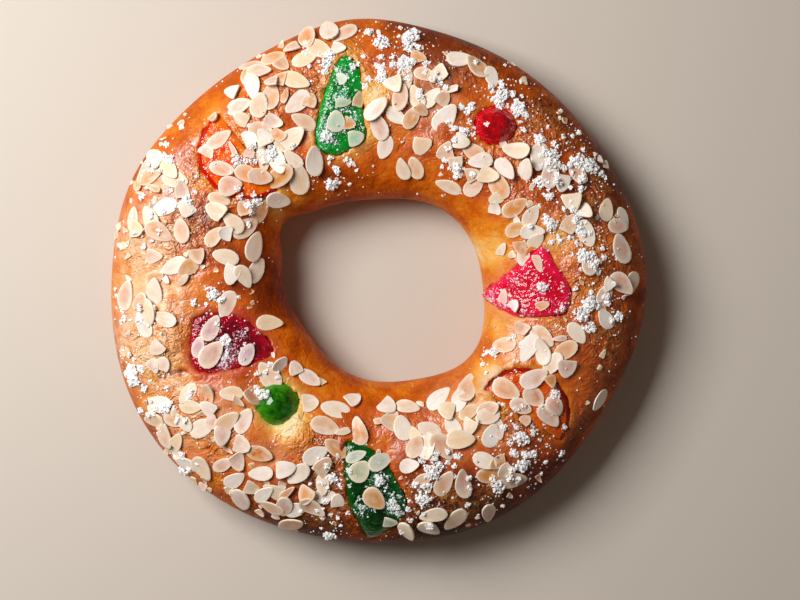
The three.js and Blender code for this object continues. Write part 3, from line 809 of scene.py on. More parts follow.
@dataclass
class CandiedFruit:
    """A candied fruit as a closed body whose rim is rounded and whose skin is uneven."""

    fruit: Fruit
    dough: Dough
    around: int = 120
    rings: int = 56
    top_rings: int = 34
    wall_rings: int = 6
    wrinkles: Layers = ((5, 1, 11), (2, 0.6, 12))
    peel_width: float = 2.8
    peel_rise: float = 0.35
    segments: int = 5  # of half a slice

    def build(self, finish: "Finish") -> bpy.types.Object:
        """Models and dresses the fruit.

        Args:
            finish: The fruit's finish.

        Returns:
            The finished piece.
        """
        fruit = self.fruit
        select_nothing()
        bpy.ops.mesh.primitive_uv_sphere_add(segments=self.around, ring_count=self.rings, radius=1)
        body = bpy.context.object
        body.name = fruit.name + "_flesh"
        ball = corners_of(body)
        ring = np.rint(np.arccos(np.clip(ball[:, 2], -1, 1)) / np.pi * self.rings)
        turn = np.arctan2(ball[:, 1], ball[:, 0]) / (2 * np.pi)
        rim = fruit.fine_edge(self.around)[np.rint(turn * self.around).astype(int) % self.around]
        wall_end = self.top_rings + self.wall_rings
        inner = ring / self.top_rings
        under = (self.rings - ring) / (self.rings - wall_end)
        share = np.minimum(1, np.where(ring <= self.top_rings, inner, under))
        plan = fruit.middle + (rim - fruit.middle) * share[:, None]
        x, y = plan.T
        top = self.dough.fruit_top(fruit, x, y)
        floor = self.dough.dome(x, y) - fruit.dent / 2 - fruit.depth
        down = np.clip((ring - self.top_rings) / self.wall_rings, 0, 1)
        z = top + (floor - top) * down
        peel = self.peel(x, y)
        skin = fruit.wrinkle * bumps(np.stack([x, y, z], -1), self.wrinkles)
        z += (skin * ease(6 * (1 - share)) + self.peel_rise * peel) * (1 - down)
        move_corners(body, np.stack([x, y, z], -1))
        for name, values in {
            "peel": peel,
            "membrane": self.membrane(x, y),
            # painted glow: the colour brightens towards the thin rim, where light comes through
            "clear": ease((share - 0.6) / 0.4) * (ring < wall_end),
            "frost": self.frosting(x, y),
        }.items():
            note_values(body, name, values)
        bpy.ops.object.shade_smooth()
        settle_in(body, fruit.slot, finish.material(), [fruit.name])
        return body

    def peel(self, x: Array, y: Array) -> Array:
        """Where a half slice has its peel, from 0 to 1."""
        if self.fruit.cut is not Cut.HALF_SLICE:
            return np.zeros(np.shape(x))
        away = np.hypot(x - self.fruit.centre[0], y - self.fruit.centre[1])
        return ease((away - self.fruit.radius + self.peel_width) / 0.8)

    def membrane(self, x: Array, y: Array) -> Array:
        """Where a half slice has the thin walls between its segments, from 0 to 1."""
        if self.fruit.cut is not Cut.HALF_SLICE:
            return np.zeros(np.shape(x))
        dx, dy = x - self.fruit.centre[0], y - self.fruit.centre[1]
        segment = 180 / self.segments
        turn = (np.degrees(np.arctan2(dy, dx)) - self.fruit.bearing + 90) / segment
        away = np.abs(turn - np.rint(turn)) * math.radians(segment) * np.hypot(dx, dy)
        core = bell(np.hypot(dx, dy), 2.0)
        return np.maximum(bell(away, 0.6) * (1 - self.peel(x, y)), core)

    def frosting(self, x: Array, y: Array) -> Array:
        """How much sugar has dried on the fruit, from 0 to 1."""
        return np.clip(self.fruit.dusting + patches(x, y, self.fruit.frost), 0, 1)


# ---------------------------------------------------------------------------- flaked almonds


class FlakeKind(Enum):
    """The shapes in which flaked almonds come."""

    WHOLE = "a slice through the whole kernel"
    BROKEN = "a slice that snapped across"
    SPLINTER = "a narrow splinter"


@dataclass
class Flake:
    """One flaked almond and where it lies."""

    kind: FlakeKind
    length: float
    width: float
    bearing: float
    x: float
    y: float
    point: Array
    normal: Array
    layer: int = 0
    fused: bool = True


@dataclass
class Pile:
    """All that a small topping can come to rest on: the dough, the fruits and the flakes."""

    dough: Dough
    flakes: list[Flake] = field(default_factory=list)
    flake_rise: float = 0.7  # from the crust to the top of a flake
    layer_rise: float = 0.6

    def top(self, x: Array, y: Array) -> tuple[Array, Array, Array, Array]:
        """The topmost surface at places in plan.

        Args:
            x: Places along X.
            y: Places along Y.

        Returns:
            Points, outward directions, the number of the fruit below or -1 for dough, and
            whether a flake lies there.
        """
        points, normals = self.dough.frames(x, y)
        below, covered = np.full(len(x), -1), np.zeros(len(x), bool)
        for number, fruit in enumerate(self.dough.fruits):
            inside = fruit.distance(x, y) < -0.4
            if inside.any():
                tops = self.dough.fruit_frames(fruit, x[inside], y[inside])
                points[inside], normals[inside] = tops
                below[inside] = number
        for flake in self.flakes:
            dx, dy = x - flake.x, y - flake.y
            u = dx * math.cos(flake.bearing) + dy * math.sin(flake.bearing)
            v = dy * math.cos(flake.bearing) - dx * math.sin(flake.bearing)
            on = (2 * u / flake.length) ** 2 + (2 * v / flake.width) ** 2 < 0.9
            points[on] += (self.flake_rise + self.layer_rise * flake.layer) * flake.normal
            covered |= on
        return points, normals, below, covered

    def shown(self, below: int) -> Array:
        """The colour that shows through whatever lies on a fruit, or on dough for -1."""
        return np.array(linear(self.dough.fruits[below].shows if below >= 0 else "d69478"))


@dataclass
class AlmondScatter:
    """Drifts of flaked almonds on the crust and on the fruits.

    Drifts are (x, y, spread in x, spread in y, number). The flakes given one by one lie loose on
    the dough, and few loose ones lie in the bare spots, which are (x, y, radius).
    """

    dough: Dough
    drifts: tuple[tuple[float, float, float, float, int], ...] = (
        (-36, 129, 9, 5, 7), (-66, 117, 9, 5, 7), (-57, 96, 15, 8, 13), (-52, 66, 11, 10, 11),
        (-124, 46, 8, 15, 13), (-79, 38, 12, 5, 7), (-103, 11, 11, 8, 10), (-74, 18, 6, 9, 6),
        (-125, -24, 9, 12, 9), (-56, -20, 8, 7, 5), (-30, -68, 13, 12, 12), (-85, -68, 11, 9, 10),
        (-110, -80, 12, 9, 10), (-85, -101, 12, 8, 10), (-43, -108, 14, 7, 10),
        (-54, -127, 18, 4, 10), (29, -68, 16, 6, 9), (37, -85, 18, 6, 11), (46, -105, 17, 6, 9),
        (30, -129, 18, 4, 7), (94, -36, 12, 7, 11), (123, -38, 4, 12, 3), (36, 118, 17, 5, 9),
        (23, 95, 17, 6, 12), (23, 72, 13, 6, 8), (49, 57, 11, 7, 8), (79, 54, 13, 9, 9),
        (117, 37, 9, 8, 7), (75, 24, 6, 7, 4), (127, 2, 7, 7, 7),
    )
    placed: tuple[Topping, ...] = (
        Topping(79, 15, 15, 7, 80), Topping(85, 21, 12, 7, 45), Topping(67, 16, 11, 5, 50),
        Topping(59.5, -70, 13, 9, 20), Topping(61, -84, 13, 10, 70),
        Topping(13, -80, 14, 10, 100), Topping(20, -90, 13, 9, 60), Topping(27, -94, 12, 7, -30),
        Topping(17, -100, 11, 8, 10), Topping(24, -108, 12, 7, 40),
    )
    bare: tuple[Spot, ...] = (
        (-64, 14, 16), (-62, -12, 12), (-10, -142, 24), (40, -136, 20), (-60, -134, 20),
        (136, 20, 14), (138, -20, 16), (130, -52, 14), (132, 5, 9), (-100, -106, 10),
    )
    seed: int = 20260106
    tries: int = 14
    spacing: float = 0.46  # least distance between two flakes, in shares of their mean length
    reach: float = 0.8  # flakes nearer than this share of their mean length overlap
    band: Place = (-0.76, 0.9)  # how far down the inner and the outer side flakes stick
    fused_share: float = 0.44
    lean: float = 0.13  # slope at which a flake leans on the one under it
    chips: int = 4  # small broken bits for each drift
    chip_band: Place = (-0.85, 0.97)
    slides: tuple[tuple[float, float, int], ...] = (  # direction, spread and number of bits
        (128, 9, 9), (152, 10, 12), (176, 10, 14), (200, 10, 14), (222, 9, 12), (243, 8, 9),
        (28, 14, 8), (-62, 12, 6),
    )
    lost: float = 0.12  # share of the loose flakes that fell off again

    def kind(self, share: float) -> FlakeKind:
        """The kind of flake at a share of a drift."""
        if share < 0.6:
            return FlakeKind.WHOLE
        return FlakeKind.BROKEN if share < 0.9 else FlakeKind.SPLINTER

    def size(self, kind: FlakeKind, size: float, slimness: float) -> Place:
        """Length and width of a flake, from two draws."""
        if kind is FlakeKind.WHOLE:
            length = 12.5 + 5 * size
            return length, length * (0.54 + 0.12 * slimness)
        if kind is FlakeKind.BROKEN:
            length = 10 + 4 * size
            return length, length * (0.6 + 0.2 * slimness)
        return 8 + 5 * size, 2.6 + 1.6 * slimness

    def settle(self, flake: Flake, tilt: Place, others: list[Flake]) -> bool:
        """Leans a flake on those under it.

        Args:
            flake: The flake, which is given its layer and its lean.
            tilt: A small tilt of its own.
            others: The flakes that already lie there.

        Returns:
            False if it would lie too squarely on one of them.
        """
        lean = np.zeros(3)
        for other in others:
            away = other.point - flake.point
            mean = (flake.length + other.length) / 2
            distance = float(np.linalg.norm(away))
            if distance < self.spacing * mean:
                return False
            if distance < self.reach * mean:
                lean += away / distance
                flake.layer = min(2, max(flake.layer, other.layer + 1))
        if flake.layer > 0:
            flake.normal = flake.normal - self.lean * unit(lean)
        flake.normal = unit(flake.normal + np.array([*tilt, 0]))
        return True

    def on_dough(self) -> list[Flake]:
        """All flakes on the dough, leaning on those that fell before them."""
        draw = Draw(self.seed)
        flakes: list[Flake] = []
        for cx, cy, spread_x, spread_y, number in self.drifts:
            for i in range(number):
                kind = self.kind(i / number)
                for attempt in range(self.tries):
                    widening = 1 + attempt / self.tries
                    x = cx + spread_x * widening * draw.bunched()
                    y = cy + spread_y * widening * draw.bunched()
                    length, width = self.size(kind, draw.one(), draw.one())
                    bearing = 2 * math.pi * draw.one()
                    tilt = (0.12 * (draw.one() - 0.5), 0.12 * (draw.one() - 0.5))
                    if not self.dough.is_free(x, y, self.band, 0.3 * length):
                        continue
                    point, normal = self.dough.frames(np.float64(x), np.float64(y))
                    flake = Flake(kind, length, width, bearing, x, y, point, normal)
                    flake.fused = i / number < self.fused_share
                    if self.settle(flake, tilt, flakes):
                        flakes.append(flake)
                        break
        flakes = [flake for flake in flakes if flake.fused or not self.is_bare(flake, draw)]
        for spot in self.placed:
            kind = FlakeKind.WHOLE if spot.width > 6 else FlakeKind.BROKEN
            place = np.float64(spot.x), np.float64(spot.y)
            size = spot.length, spot.width, math.radians(spot.degrees)
            flake = Flake(kind, *size, *place, *self.dough.frames(*place), fused=False)
            self.settle(flake, (0.0, 0.0), flakes)
            flakes.append(flake)
        return flakes

    def is_bare(self, flake: Flake, draw: Draw) -> bool:
        """True if a flake lies in a bare spot, or is one of the few that fell off again."""
        bare = any(math.hypot(flake.x - x, flake.y - y) < reach for x, y, reach in self.bare)
        return bare or draw.one() < self.lost

    def on_fruit(self, fruit: Fruit) -> list[Flake]:
        """The flakes that lie on a fruit, the lowest first."""
        flakes = []
        for number, spot in enumerate((*fruit.flakes, *fruit.slivers)):
            fused = number < len(fruit.flakes)
            whole = spot.length / spot.width < 2.2 and spot.length > 11
            kind = FlakeKind.WHOLE if whole else FlakeKind.BROKEN
            place = np.float64(spot.x), np.float64(spot.y)
            point, normal = self.dough.fruit_frames(fruit, *place)
            bearing = math.radians(spot.degrees)
            flake = Flake(kind, spot.length, spot.width, bearing, *place, point, normal)
            flake.layer, flake.fused = int(number > 1) + int(not fused), fused
            flakes.append(flake)
        return flakes

    def broken_bits(self, pile: Pile) -> list[Flake]:
        """Small chips of almond strewn round the drifts and down the outer side."""
        draw = Draw(self.seed + 1)
        bits = []
        for cx, cy, spread_x, spread_y, _ in self.drifts:
            for _ in range(self.chips):
                x = cx + 1.5 * spread_x * draw.bunched()
                y = cy + 1.5 * spread_y * draw.bunched()
                bits.extend(self.chip(pile, x, y, draw))
        for degrees, spread, number in self.slides:
            for _ in range(number):
                angle = math.radians(degrees + spread * draw.bunched())
                along_x, along_y = math.cos(angle), math.sin(angle)
                middle, half, _ = self.dough.ring_at(along_x, along_y)
                away = middle + half * (0.72 + 0.24 * draw.one())
                bits.extend(self.chip(pile, away * along_x, away * along_y, draw))
        return bits

    def chip(self, pile: Pile, x: float, y: float, draw: Draw) -> list[Flake]:
        """One small chip on the dough.

        Args:
            pile: What it may come to rest on.
            x: Its place along X.
            y: Its place along Y.
            draw: The draws for its size and how it leans.

        Returns:
            The chip, or nothing where it would lie off the crust or on something else.
        """
        length, slimness = 3.5 + 4 * draw.one() ** 2, 0.35 + 0.5 * draw.one()
        bearing = 2 * math.pi * draw.one()
        place = np.array([x]), np.array([y])
        if not self.chip_band[0] < self.dough.across(*place)[0] < self.chip_band[1]:
            return []
        points, normals, below, covered = pile.top(*place)
        if below[0] >= 0 or covered[0]:
            return []
        tilt = np.array([draw.one() - 0.5, draw.one() - 0.5, 0.8])
        size = (length, length * slimness, bearing, x, y)
        normal = unit(normals[0] + 0.5 * tilt)
        return [Flake(FlakeKind.BROKEN, *size, points[0], normal, fused=False)]


@dataclass
class Almonds:
    """All flaked almonds as one joined mesh."""

    pile: Pile
    nodes: list[str]
    thickness: float = 0.95
    curl: Place = (0.8, 2.2)  # most that a fused and a loose flake bends
    twist: Place = (0.5, 1.5)
    lean: Place = (0.09, 0.39)
    standing: float = 0.07  # share of the loose flakes that stand up steeply
    ceiling: float = 56.6  # no flake stands higher than this
    seed: int = 77
    sides: int = 16
    variants: int = 6

    def outline(self, kind: FlakeKind, draw: Draw) -> Array:
        """The rim of a flake within -1 to 1 each way, a little different at each draw."""
        turn = 2 * np.pi * (np.arange(self.sides) + 0.5) / self.sides
        snapped = {FlakeKind.WHOLE: -1.0, FlakeKind.BROKEN: -0.35 - 0.3 * draw.one()}
        snap = snapped.get(kind, -0.8)
        slant = 0.5 * (draw.one() - 0.5) if kind is not FlakeKind.WHOLE else 0.0
        x, y = np.cos(turn), (1 - 0.22 * np.cos(turn)) * np.sin(turn)
        tip = 0.16 * draw.one()
        y *= 1 - tip * np.maximum(0, x) ** 2
        x = np.maximum(x, snap + slant * y)
        waves = 0.035 * np.sin(2 * turn + 6 * draw.one()) + 0.03 * np.sin(3 * turn + 6 * draw.one())
        chipped = 0.02 if kind is FlakeKind.WHOLE else 0.08
        ragged = np.array([draw.one() - 0.5 for _ in turn]) * chipped
        return np.stack([x, y], 1) * (1 + waves + ragged)[:, None]

    def model(self, kind: FlakeKind, draw: Draw) -> Pattern:
        """Models one variant: a thin slice with a crisp rim, 1 high and about 2 across."""
        select_nothing()
        bpy.ops.mesh.primitive_circle_add(vertices=self.sides, radius=1, fill_type="NGON")
        slice_ = bpy.context.object
        bpy.ops.object.mode_set(mode="EDIT")
        bpy.ops.mesh.select_all(action="SELECT")
        bpy.ops.mesh.extrude_region_move(TRANSFORM_OT_translate={"value": (0, 0, 0.82)})
        bpy.ops.mesh.inset(thickness=0.05)
        bpy.ops.transform.translate(value=(0, 0, 0.18))
        bpy.ops.mesh.inset(thickness=0.12)
        bpy.ops.mesh.inset(thickness=0.4)
        bpy.ops.mesh.select_all(action="SELECT")
        bpy.ops.mesh.normals_make_consistent(inside=False)
        bpy.ops.object.mode_set(mode="OBJECT")
        pattern = Pattern.take(slice_)
        rim = self.outline(kind, draw)
        turn = np.arctan2(pattern.corners[:, 1], pattern.corners[:, 0]) / (2 * np.pi)
        near = np.hypot(pattern.corners[:, 0], pattern.corners[:, 1])
        index = np.rint((turn - turn[0]) * self.sides).astype(int) % self.sides
        pattern.corners[:, :2] = rim[index] * near[:, None]
        pattern.extra["rim"] = ease((near - 0.74) / 0.2)
        return pattern

    def build(self, finish: "Finish") -> bpy.types.Object:
        """Models, copies and dresses the flakes.

        Args:
            finish: The almonds' finish.

        Returns:
            The finished piece.
        """
        draw = Draw(self.seed)
        patterns = {
            kind: [self.model(kind, draw) for _ in range(self.variants)] for kind in FlakeKind
        }
        heap = Heap()
        for flake in self.pile.flakes:
            pattern = patterns[flake.kind][int(draw.one() * self.variants)]
            self.lay(heap, flake, pattern, draw)
        piece = heap.piece("flaked_almonds")
        smooth(piece, 30)
        settle_in(piece, "almond", finish.material(), self.nodes)
        return piece

    def lay(self, heap: Heap, flake: Flake, pattern: Pattern, draw: Draw) -> None:
        """Adds one flake, bent and tilted a little.

        Args:
            heap: Takes the flake.
            flake: Its size and place.
            pattern: Its shape.
            draw: The draws for its bend, tilt and tone.
        """
        u, v, w = pattern.corners.T
        loose = int(not flake.fused)
        curl = self.curl[loose] * (draw.one() - 0.3)
        twist = self.twist[loose] * (draw.one() - 0.5)
        x, y = u * flake.length / 2, v * flake.width / 2
        lift = -0.25 + 0.62 * flake.layer
        z = w * self.thickness * (0.8 + 0.35 * draw.one()) + lift
        z = z + curl * (u**2 - 0.3) - 0.2 * u**2 + twist * u * v
        lean = self.lean[loose] * np.array([draw.one() - 0.5, draw.one() - 0.5, 0])
        if loose and draw.one() > 1 - self.standing:
            lean *= 4.5
        normal = unit(flake.normal + lean)
        rise = 0.3 * flake.width * np.linalg.norm(lean)
        point = flake.point + rise * flake.normal
        tone, thin, toast = draw.one(), draw.one(), draw.one()
        below = self.pile.top(np.array([flake.x]), np.array([flake.y]))[2][0]
        thin = ease((thin - 0.25) / 0.75) if below < 0 else 0.6 + 0.4 * thin
        notes = {
            "rim": pattern.extra["rim"],
            "place": np.stack([u, v, np.full(len(u), 40 * draw.one())], 1),
            "tone": tone,
            "thin": thin * (1 - 0.6 * np.minimum(1, u**2 + v**2)),
            "toast": max(0.0, toast - 0.74) / 0.26,
            "shown": self.pile.shown(below),
        }
        corners = seated(np.stack([x, y, z], 1), point, normal, flake.bearing)
        corners[:, 2] -= max(0.0, corners[:, 2].max() - self.ceiling)
        heap.add(pattern, corners, notes)


# ------------------------------------------------------------------------------------- sugar


@dataclass
class Lump:
    """A lump of sugar and where it lies."""

    radius: float
    point: Array
    normal: Array
    below: int = -1


@dataclass
class SugarScatter:
    """Where damp sugar was strewn and dried, as drifts of (x, y, spread, number, radius).

    The fine drifts hold small clumps only.
    """

    dough: Dough
    drifts: tuple[tuple[float, float, float, int, float], ...] = (
        (11, 134, 5, 2, 4.6), (15, 118, 4, 1, 4.2), (0, 113, 4, 1, 3.4), (27, 109, 4, 1, 4.2),
        (-28, 119, 3, 1, 3.4), (67, 97, 5, 2, 3.8), (47, 86, 4, 1, 4), (43, 61, 2, 1, 3.4),
        (94, 72, 4, 2, 4.4), (113, 60, 4, 2, 4.4), (96, 46, 5, 1, 4), (96, 33, 4, 1, 3.8),
        (112, 26, 4, 1, 4), (109, 12, 4, 1, 4.2), (113, -15, 4, 2, 4.6), (65, -40, 4, 1, 3.2),
        (73, -80, 4, 1, 4), (84, -93, 5, 1, 3.6), (32, -101, 3, 1, 4), (22, -120, 3, 1, 4),
        (57, -118, 7, 1, 3.6), (-25, -106, 4, 1, 3.2), (-29, -131, 5, 1, 3.2),
        (-66, -58, 3, 1, 3.4), (-136, -50, 3, 2, 4.4), (-114, -65, 5, 1, 3.4),
        (-111, -100, 7, 1, 3.4), (-127, -21, 3, 1, 3.2), (-90, -11, 4, 1, 3.4),
        (-109, 48, 5, 1, 3.6), (-112, 64, 5, 1, 3.2), (-66, 68, 5, 1, 4.2), (-71, 41, 2, 1, 3.2),
        (-20, 57, 4, 1, 3.4),
    )
    fine_drifts: tuple[tuple[float, float, float, int, float], ...] = (
        (52, 91, 0.5, 6, 5.5), (68, 96, 0.5, 6, 5.5), (74, 90, 0, 6, 5.5), (100, 88, 8, 6, 3),
        (58, 112, 8, 5, 3), (104, 40, 5, 8, 4), (-120, 20, 8, 6, 2.6), (-80, -34, 1, 5, 3.6),
        (-139, 22, 4, 4, 2.6), (-146, -18, 4, 4, 2.4), (-132, -70, 4, 5, 2.6),
        (-108, -104, 5, 5, 2.6),
    )
    seed: int = 1205
    tries: int = 8
    band: Place = (-0.95, 0.95)

    def lumps(self) -> list[Lump]:
        """The large lumps on the dough and on the fruits."""
        draw = Draw(self.seed)
        lumps = []
        for cx, cy, spread, number, mean in self.drifts:
            for _ in range(number):
                for _ in range(self.tries):
                    x = cx + spread * draw.bunched()
                    y = cy + spread * draw.bunched()
                    radius = mean * (0.8 + 0.4 * draw.one())
                    if self.dough.is_free(x, y, self.band, 0.8 * radius):
                        frame = self.dough.frames(np.float64(x), np.float64(y))
                        lumps.append(Lump(radius, *frame))
                        break
        for number, fruit in enumerate(self.dough.fruits):
            for x, y, radius in fruit.lumps:
                frame = self.dough.fruit_frames(fruit, np.float64(x), np.float64(y))
                lumps.append(Lump(radius, *frame, number))
        return lumps


@dataclass
class Sugar:
    """Grains of sugar: dried together as lumps, and loose between them.

    Grain sizes are radii in millimetres.
    """

    scatter: SugarScatter
    pile: Pile
    nodes: list[str]
    seed: int = 4242
    variants: int = 8
    grain: float = 0.58
    clumps_a_drift: int = 8
    singles_a_drift: int = 80
    strays: int = 650
    lobes: int = 7  # how many ways a lump bulges
    flatness: float = 0.62  # height of a lump for each unit of its radius
    core: float = 0.58  # share of its radius that a lump's body fills
    soaked: Place = (0.3, 0.04)  # colour taken up by lumps on fruit and on dough
    in_groups: int = 5  # grains that dried together on a fruit

    def __post_init__(self) -> None:
        """Models the grains and the body of a lump."""
        self.random = np.random.RandomState(self.seed)
        self.grains = [self.crystal(i) for i in range(self.variants)]
        self.bodies = [self.body(i) for i in range(self.variants // 2)]

    def crystal(self, number: int) -> Pattern:
        """Models one grain: a worn cube of radius 1."""
        select_nothing()
        bpy.ops.mesh.primitive_cube_add(size=1.35)
        grain = self.shaken(bpy.context.object, 0.42, number + 1)
        grain.corners *= 0.75 + 0.6 * np.random.RandomState(number).rand(3)
        return grain

    def body(self, number: int) -> Pattern:
        """Models what fills a lump: an uneven ball of radius 1."""
        select_nothing()
        bpy.ops.mesh.primitive_ico_sphere_add(subdivisions=2, radius=1)
        return self.shaken(bpy.context.object, 0.2, number + 20)

    def shaken(self, piece: bpy.types.Object, offset: float, seed: int) -> Pattern:
        """Shifts all corners of a new piece at random and takes it as a pattern.

        Args:
            piece: The piece, which is active.
            offset: The largest shift.
            seed: Chooses the shifts.

        Returns:
            The pattern.
        """
        bpy.ops.object.mode_set(mode="EDIT")
        bpy.ops.mesh.select_all(action="SELECT")
        bpy.ops.transform.vertex_random(offset=offset, seed=seed)
        bpy.ops.object.mode_set(mode="OBJECT")
        return Pattern.take(piece)

    def drop(self, heap: Heap, place: Array, radius: float, glaze: float, below: int) -> None:
        """Adds one grain, turned at random.

        Args:
            heap: Takes the grain.
            place: Its centre.
            radius: Its radius.
            glaze: How much it has soaked up of what lies below, from 0 to 1.
            below: Number of the fruit below, or -1 for dough.
        """
        pattern = self.grains[self.random.randint(self.variants)]
        axis = unit(self.random.randn(3))
        turn = 2 * np.pi * self.random.rand()
        corners = seated(pattern.corners * radius, place, axis, turn)
        heap.add(pattern, corners, {"glaze": glaze, "shown": self.pile.shown(below)})

    def clump(self, heap: Heap, lump: Lump, size: float) -> None:
        """Builds a lump from a body and the grains that stick out of it.

        Args:
            heap: Takes the lump.
            lump: Where it lies and how large it is.
            size: Mean radius of a grain.
        """
        soaked = self.soaked[int(lump.below < 0)]
        body = self.bodies[self.random.randint(len(self.bodies))]
        ball = body.corners * np.array([1, 1, self.flatness]) * self.core * lump.radius
        turn = 2 * np.pi * self.random.rand()
        notes = {"glaze": soaked, "shown": self.pile.shown(lump.below)}
        heap.add(body, seated(ball, lump.point, lump.normal, turn), notes)
        number = int(3.2 * (lump.radius / size) ** 1.55) + 3
        ragged = 0.6 + 0.7 * self.random.rand(self.lobes)
        for _ in range(number):
            turn = 2 * np.pi * self.random.rand()
            away = self.random.rand() ** 0.45
            lobe = int(turn / (2 * np.pi) * self.lobes) % self.lobes
            reach = lump.radius * ragged[lobe] * away
            height = self.flatness * lump.radius * math.sqrt(max(0.0, 1 - away**1.6))
            height *= 0.5 + 0.5 * self.random.rand() ** 0.4
            local = np.array([[reach * math.cos(turn), reach * math.sin(turn), height]])
            place = seated(local, lump.point, lump.normal, 0.0)[0]
            radius = size * (0.45 + 1.2 * self.random.rand() ** 1.4)
            self.drop(heap, place, radius, soaked * self.random.rand(), lump.below)

    def strewn(self) -> tuple[Array, Array]:
        """Places in plan of single loose grains, and their radii."""
        rows = []
        for cx, cy, spread, number, _ in self.scatter.drifts:
            count = int(self.singles_a_drift * (0.7 + 0.3 * number))
            rows.append(self.random.randn(count, 2) * (1.8 * spread + 3) + (cx, cy))
        angle = 2 * np.pi * self.random.rand(self.strays)
        across = np.clip(0.5 * self.random.randn(self.strays) + 0.15, -0.93, 0.93)
        middle, half, _ = self.scatter.dough.ring_at(np.cos(angle), np.sin(angle))
        radius = middle + half * across
        rows.append(np.stack([radius * np.cos(angle), radius * np.sin(angle)], 1))
        places = np.vstack(rows)
        places = places[np.abs(self.scatter.dough.across(*places.T)) < 0.94]
        return places, 0.24 + 0.4 * self.random.rand(len(places)) ** 2

    def frosted(self) -> tuple[Array, Array]:
        """Places in plan of the fine sugar on the fruits, and the radii."""
        rows = []
        for fruit in self.scatter.dough.fruits:
            for cx, cy, spread, strength in fruit.frost:
                count = int(1.3 * strength * spread**2) + 1
                spots = self.random.randn(count, 2) * spread + (cx, cy)
                spots = np.repeat(spots, self.in_groups, 0)
                spots += 0.75 * self.random.randn(*spots.shape)
                rows.append(spots[fruit.distance(*spots.T) < -0.6])
        places = np.vstack(rows)
        return places, 0.26 + 0.5 * self.random.rand(len(places)) ** 2

    def on_cherry(self, below: int) -> bool:
        """True if what lies below is a cherry, which sheds loose sugar."""
        return below >= 0 and self.pile.dough.fruits[below].cut is Cut.CHERRY

    def build_lumps(self, finish: "Finish") -> bpy.types.Object:
        """Models and dresses the large lumps."""
        heap = Heap()
        for lump in self.scatter.lumps():
            self.clump(heap, lump, self.grain)
        piece = heap.piece("sugar_lumps")
        settle_in(piece, "sugar", finish.material(), self.nodes)
        return piece

    def build_grains(self, finish: "Finish") -> bpy.types.Object:
        """Models and dresses the small clumps and the loose grains."""
        heap = Heap()
        base = self.clumps_a_drift
        main = [(x, y, s, base + 3 * n, r) for x, y, s, n, r in self.scatter.drifts]
        for cx, cy, spread, count, mean in (*main, *self.scatter.fine_drifts):
            places = self.random.randn(count, 2) * (1.2 * spread + 2) + (cx, cy)
            places = places[np.abs(self.scatter.dough.across(*places.T)) < 0.93]
            for point, normal, below, _ in zip(*self.pile.top(*places.T)):
                if self.on_cherry(below):
                    continue
                radius = mean * (0.2 + 0.42 * self.random.rand() ** 1.5)
                self.clump(heap, Lump(radius, point, normal, below), 0.9 * self.grain)
        for places, radii in (self.strewn(), self.frosted()):
            tops = self.pile.top(*places.T)
            for point, normal, below, covered, radius in zip(*tops, radii):
                if self.on_cherry(below) or covered and self.random.rand() < 0.85:
                    continue
                glaze = 0.1 + 0.4 * self.random.rand()
                if below < 0 or covered:
                    glaze = max(0.0, 0.8 * self.random.rand() - 0.35)
                self.drop(heap, point + 0.2 * radius * normal, radius, glaze, below)
        piece = heap.piece("sugar_grains")
        settle_in(piece, "sugar", finish.material(), self.nodes)
        return piece


# ---------------------------------------------------------------------------------- finishes


def linear(code: str) -> Colour:
    """Turns an sRGB hex colour into linear values with full cover."""
    parts = [int(code[i : i + 2], 16) / 255 for i in (0, 2, 4)]
    red, green, blue = (c / 12.92 if c <= 0.04045 else ((c + 0.055) / 1.055) ** 2.4 for c in parts)
    return red, green, blue, 1.0


def per_metre(size: float) -> float:
    """The scale of a texture whose features are a size in millimetres apart."""
    return 1 / (size * METRES)


def add_node(
    tree: bpy.types.NodeTree, kind: str, inputs: dict[str | int, object], **settings: object
) -> bpy.types.Node:
    """Adds a node with its settings and links.

    Args:
        tree: The material's node tree.
        kind: The node's type, without the words that all types start with.
        inputs: Values, nodes or sockets for its inputs, by name or number. A node stands for
            its result.
        **settings: Properties of the node, and "stops" as (place, colour) for a colour ramp.

    Returns:
        The new node.
    """
    node = tree.nodes.new("ShaderNode" + kind)
    stops = settings.pop("stops", ())
    for name, value in settings.items():
        setattr(node, name, value)
    if stops:
        elements = node.color_ramp.elements
        for place, code in stops[1:-1]:
            elements.new(place).color = linear(code)
        for element, (place, code) in ((elements[0], stops[0]), (elements[-1], stops[-1])):
            element.position, element.color = place, linear(code)
    for key, value in inputs.items():
        if isinstance(value, bpy.types.Node):
            value = result_of(value)
        if isinstance(value, bpy.types.NodeSocket):
            tree.links.new(value, node.inputs[key])
        else:
            node.inputs[key].default_value = value
    return node


def result_of(node: bpy.types.Node) -> bpy.types.NodeSocket:
    """The socket that a node stands for: the colour of a mix, or else its first output."""
    return node.outputs[2 if node.type == "MIX" else 0]


@dataclass(frozen=True)
class Finish:
    """What all finishes share: a name, and uniform values on the shader's own sockets."""

    name: str

    def uniform(self) -> dict[str, object]:
        """Values that are the same all over the surface, by socket."""
        return {}

    def varied(self, tree: bpy.types.NodeTree) -> dict[str, bpy.types.Node]:
        """Nodes for what differs over the surface, by socket of the shader."""
        return {}

    def material(self) -> bpy.types.Material:
        """Makes the material."""
        material = bpy.data.materials.new(self.name)
        material.use_nodes = True
        tree = material.node_tree
        shader = next(node for node in tree.nodes if node.type == "BSDF_PRINCIPLED")
        for socket, value in self.uniform().items():
            shader.inputs[socket].default_value = value
        for socket, node in self.varied(tree).items():
            tree.links.new(result_of(node), shader.inputs[socket])
        return material


